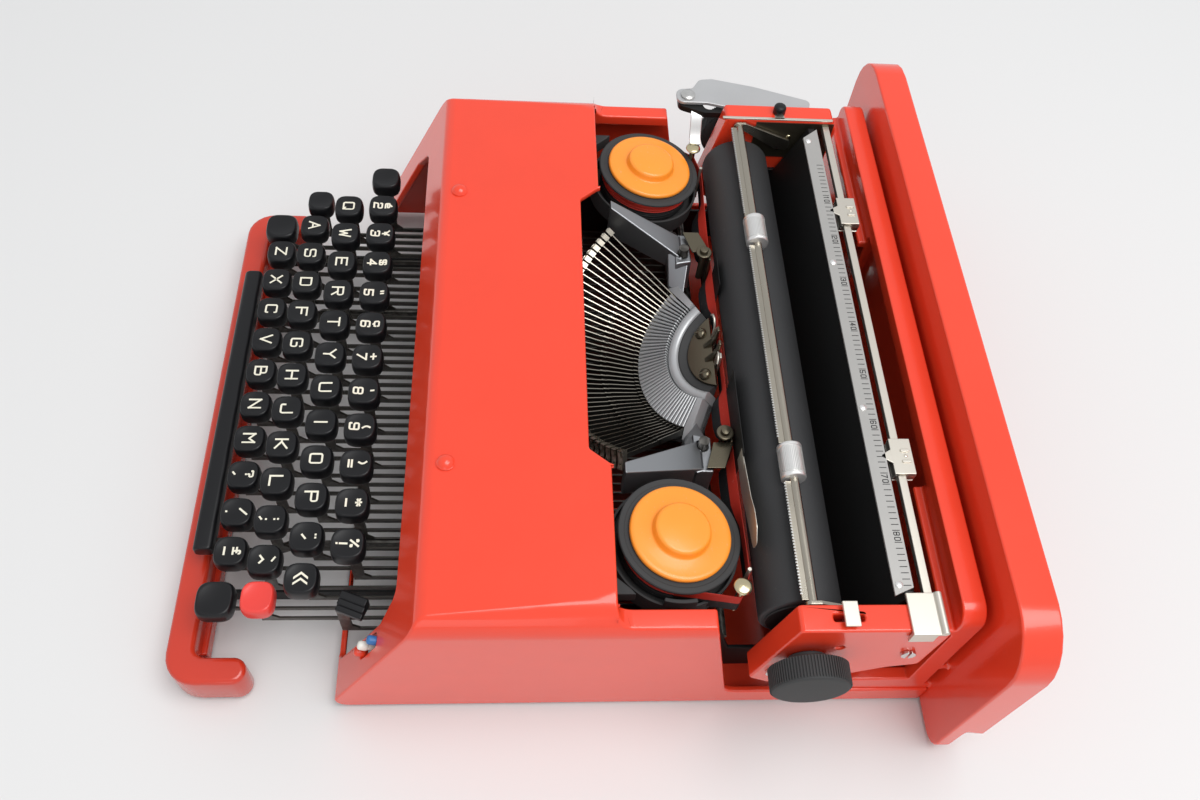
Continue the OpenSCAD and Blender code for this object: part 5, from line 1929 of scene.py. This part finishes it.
    def _bail_roller(self, name: str, x: float) -> None:
        """Make a bail roller with fine knurling between smooth rims.

        Args:
            name: left or right.
            x: Its middle in X.
        """
        centre, body, r = (x, *self.bail), "roller_" + name, self.roller_radius
        profile = [(2.1, -8), (r - 0.7, -8), (r - 0.1, -7.6), (r, -7.1), (r, -6.4), (r - 0.5, -6.0), (r - 0.5, 6.0),
                   (r, 6.4), (r, 7.1), (r - 0.1, 7.6), (r - 0.7, 8), (2.1, 8)]
        roller = Build().lathe(profile, moved(*centre) @ TO_X, 56)
        roller.piece(name + "_bail_roller", ALUMINIUM, body, ("bail_roller_" + name,), angle=50)
        rib = Build().box((-5.8, -0.2, r - 0.7), (5.8, 0.2, r - 0.12))
        knurl = Ring(self.roller_ribs, centre, (1.0, 0.0, 0.0), 0.0, 360 / self.roller_ribs)
        REPEATS.copies(rib, name + "_roller_knurl", ALUMINIUM, body, knurl)

    def _scale_marks(self) -> None:
        """Make the paper scale with slanting ends, its printed ticks and numbers, and its rivets."""
        step, y, z = self.scale_pitch, self.scale_front, self.scale_top
        outline = [(-112.0, y), (138.9, y), (135.5, y + 8.0), (-118.6, y + 8.0)]
        Build().prism(outline, z - 1.2, z).piece("paper_scale_strip", RULER, "carriage", ("paper_scale",), bevel=0.2)
        marks = Build()
        for k in range(1, 10):
            marks.box((k * step - 0.17, 4.0, -0.1), (k * step + 0.17, 7.1, 0.03))
        REPEATS.copies(marks, "scale_ticks", TICK, "carriage", Row(9, (self.scale_zero, y, z), (10 * step, 0.0, 0.0)))
        numbers = Build()
        for value in range(10, 90, 10):
            for digit, shift in zip(str(value), (-1.15, 1.15)):
                Lettering.draw(numbers, digit, (1.3, 2.3), 0.4, (self.scale_zero + step * value + shift, y + 5.5),
                               lambda u, v: z, 0.06)
        numbers.piece("scale_numbers", TICK, "carriage")
        rivet = Build().lathe([(0, -0.1), (1.6, -0.1), (1.5, 0.4), (0.9, 0.8), (0, 0.9)], UPRIGHT, 20)
        REPEATS.copies(rivet, "scale_rivets", ALUMINIUM, "carriage", Row(4, (-109.4, y + 2.2, z), (81.3, 0.0, 0.0)))

    def _margin_stop(self, name: str, x: float) -> None:
        """Make a margin stop: a folded clip on its rail with a pointer, two slots and a dimple.

        Args:
            name: left or right.
            x: Its middle in X.
        """
        body = "stop_" + name
        wall, left, right = self.stop_wall, x - self.stop_half, x + self.stop_half
        (low, high), (near, rear) = self.stop_heights, self.stop_depths
        clip = Build()
        clip.box((left, near, high - wall), (right, rear, high))
        clip.box((left, near, low), (right, rear, low + wall))
        clip.box((left, near, low + wall), (right, near + wall, high - wall))
        clip.box((left, rear - 3.8, low + wall), (right, rear, high - wall))
        clip.prism([(x - 3.5, near + 0.4), (x + 3.5, near + 0.4), (x + 0.6, near - 4.4), (x - 0.6, near - 4.4)],
                   high - 0.9, high)
        clip.piece(name + "_margin_stop", NICKEL, body, ("margin_stop_" + name,), bevel=0.3, segments=3)
        bumps = Build()
        for shift in (-2.6, 2.6):
            first, last = x + shift - 0.8, x + shift + 0.8
            slot = rounded([(first, near + 4.0, 0.75), (last, near + 4.0, 0.75), (last, near + 8.0, 0.75),
                            (first, near + 8.0, 0.75)], 4)
            bumps.prism(slot, high - 0.2, high + 0.6)
        bumps.lathe([(0, high - 0.2), (0.9, high - 0.2), (0.8, high + 0.3), (0, high + 0.45)],
                    moved(x, near + 6.0, 0), 20)
        bumps.piece(name + "_stop_bumps", NICKEL, body, bevel=0.25, segments=3)

    def _line_space_knob(self) -> None:
        """Make the small line space knob on the left end plate."""
        x = self.middle - self.half - 5.5
        profile = [(0, -5), (1.5, -5), (1.5, 0.1), (3.0, 0.1), (3.2, 0.4), (3.2, 3.6), (2.9, 4.4), (2.2, 4.9),
                   (0, 5.0)]
        knob = Build().lathe(profile, moved(x, 108.0, self.top), 32)
        knob.piece("line_space_knob", BLACK_KEY, "line_space", ("line_space_selector",), angle=45)

    def _left_linkage(self) -> None:
        """Make the bronze plate inside the left end plate, and the return lever's arm and screw."""
        x = self.middle - self.half
        plate = Build().box((x + 0.02, 96.0, 78.0), (x + 0.35, 137.0, self.top - 1.5))
        plate.piece("linkage_plate", BRONZE, "carriage")
        first, last = x - 1.6, x - 0.05
        outline = rounded([(first, 78.0, 0.5), (last, 78.0, 0.5), (last, 136.0, 0.5), (first, 136.0, 0.5)], 3)
        flange = Build().prism(outline, self.top - 0.4, self.top + 0.35)
        flange.box((x - 4.6, 105.5, self.top - 0.2), (x - 0.6, 110.5, self.top + 0.35))
        flange.piece("linkage_flange", NICKEL, "carriage", bevel=0.15)
        rivets = Build()
        for y, z in ((114.7, 92.0), (128.0, 86.0)):
            rivets.lathe([(0, 0), (1.4, 0), (1.2, 0.35), (0, 0.5)], moved(x + 0.35, y, z) @ TO_X, 20)
        rivets.piece("linkage_rivets", BRASS, "carriage", angle=50)
        px, py, pz = self.lever_pivot
        screw = [(0, 0), (3.6, 0), (3.8, 0.4), (3.8, 1.0), (3.2, 1.5), (0, 1.6)]
        Build().lathe(screw, moved(px, py, pz), 32).piece("return_screw", STEEL, "return", angle=45)
        path = [(px + 1.0, 95.2), (px + 6.0, 95.0), (px + 9.5, 93.0), (px + 12.0, 88.5), (px + 15.0, 84.0),
                (px + 19.0, 82.0)]
        arm = Build().ribbon(path, 6.0, 1.2, Axis.Y, py + 1.6)
        arm.piece("return_arm", ALUMINIUM, "carriage", bevel=0.4, segments=3)

    def _rack(self) -> None:
        """Make the toothed rack, its tube and the spring behind the paper scale."""
        tooth = Build().prism([(-0.7, 0.0), (0.7, 0.0), (0.3, 1.6), (-0.3, 1.6)], 0.0, 1.2)
        start = (self.middle + self.rack_start[0], *self.rack_start[1:])
        teeth = Row(self.rack_teeth, start, (self.rack_pitch, 0.0, 0.0))
        REPEATS.copies(tooth, "rack_teeth", BLACK_SATIN, "carriage", teeth)
        left, right = self.middle - self.half, self.middle + self.half
        rods = Build().rod((left, *self.rack_rod), (right, *self.rack_rod), 1.0, 16)
        rods.rod((left, *self.spring_rod), (right, *self.spring_rod), 2.4, 20)
        rods.piece("rack_rods", LACQUER, "carriage")
        REPEATS.coil("rack_spring", STEEL, "carriage", (self.middle + 40.0, *self.spring_rod), 34.0, 3.2, 0.35, 22.0)


@dataclass
class Studio:
    """Floor, light and the camera that stands where the photograph was taken."""

    eye: Point = (290.73, -28.06, 469.17)
    right: Point = (0.035323, 0.996534, 0.07531)
    down: Point = (0.8378, 0.011555, -0.545854)
    ahead: Point = (-0.544833, 0.082376, -0.834489)
    lens: float = 31.37
    floor_half: float = 3000.0
    floor_colour: Colour = (0.69, 0.685, 0.675)
    floor_roughness: float = 0.6
    lamps: tuple[tuple[str, Point, float, float], ...] = (
        ("ceiling", (350.0, 500.0, 1800.0), 1300.0, 25.0), ("fill", (1500.0, -200.0, 500.0), 600.0, 1.0))
    aim: Point = (0.0, 0.0, 50.0)
    sky_colour: Colour = (0.95, 0.97, 1.0)
    sky_strength: float = 0.72
    sensor: float = 36.0

    def build(self) -> None:
        """Set up the floor, the lamps, the world and the camera."""
        self._floor()
        for lamp in self.lamps:
            self._lamp(*lamp)
        self._world()
        self._camera()
        bpy.context.scene.view_settings.view_transform = "Standard"

    def _floor(self) -> None:
        """Make the pale table."""
        s = self.floor_half * MM
        mesh = bpy.data.meshes.new("table_top")
        mesh.from_pydata([(-s, -s, 0), (s, -s, 0), (s, s, 0), (-s, s, 0)], [], [(0, 1, 2, 3)])
        mat = bpy.data.materials.new("table_top")
        mat.use_nodes = True
        set_inputs(mat.node_tree.nodes["Principled BSDF"], {
            "Base Color": (*self.floor_colour, 1.0), "Roughness": self.floor_roughness})
        mesh.materials.append(mat)
        placed("table_top", mesh)

    def _lamp(self, name: str, place: Point, size: float, power: float) -> None:
        """Hang a soft lamp that faces the machine.

        Args:
            name: Name of the lamp.
            place: Where it hangs.
            size: Length of its sides.
            power: Its power in watts.
        """
        light = bpy.data.lights.new(name, "AREA")
        light.shape = "RECTANGLE"
        light.size = light.size_y = size * MM
        light.energy = power
        lamp = placed(name, light)
        lamp.location = Vector(place) * MM
        lamp.rotation_mode = "QUATERNION"
        lamp.rotation_quaternion = (Vector(self.aim) * MM - lamp.location).to_track_quat("-Z", "Y")

    def _world(self) -> None:
        """Light everything evenly with a pale sky."""
        world = bpy.data.worlds.new("studio")
        bpy.context.scene.world = world
        world.use_nodes = True
        set_inputs(world.node_tree.nodes["Background"], {
            "Color": (*self.sky_colour, 1.0), "Strength": self.sky_strength})

    def _camera(self) -> None:
        """Set the camera at the photograph's place, direction and angle of view."""
        cam = bpy.data.cameras.new("photo_camera")
        cam.lens, cam.sensor_width = self.lens, self.sensor
        cam.clip_start, cam.clip_end = 0.01, 50.0
        obj = placed("photo_camera", cam)
        axes = Matrix((self.right, tuple(-v for v in self.down), tuple(-v for v in self.ahead))).transposed()
        obj.matrix_world = Matrix.Translation(Vector(self.eye) * MM) @ axes.to_4x4()
        bpy.context.scene.camera = obj


def main() -> None:
    """Build the studio and the sub-assemblies in order."""
    logging.basicConfig(level=logging.INFO, format="%(name)s: %(message)s")
    for part in (Studio(), Shell(), Frame(), Keyboard(), RibbonGear(), TypeBasket(), Carriage()):
        LOG.info("building %s", type(part).__name__)
        part.build()


if __name__ == "__main__":
    main()
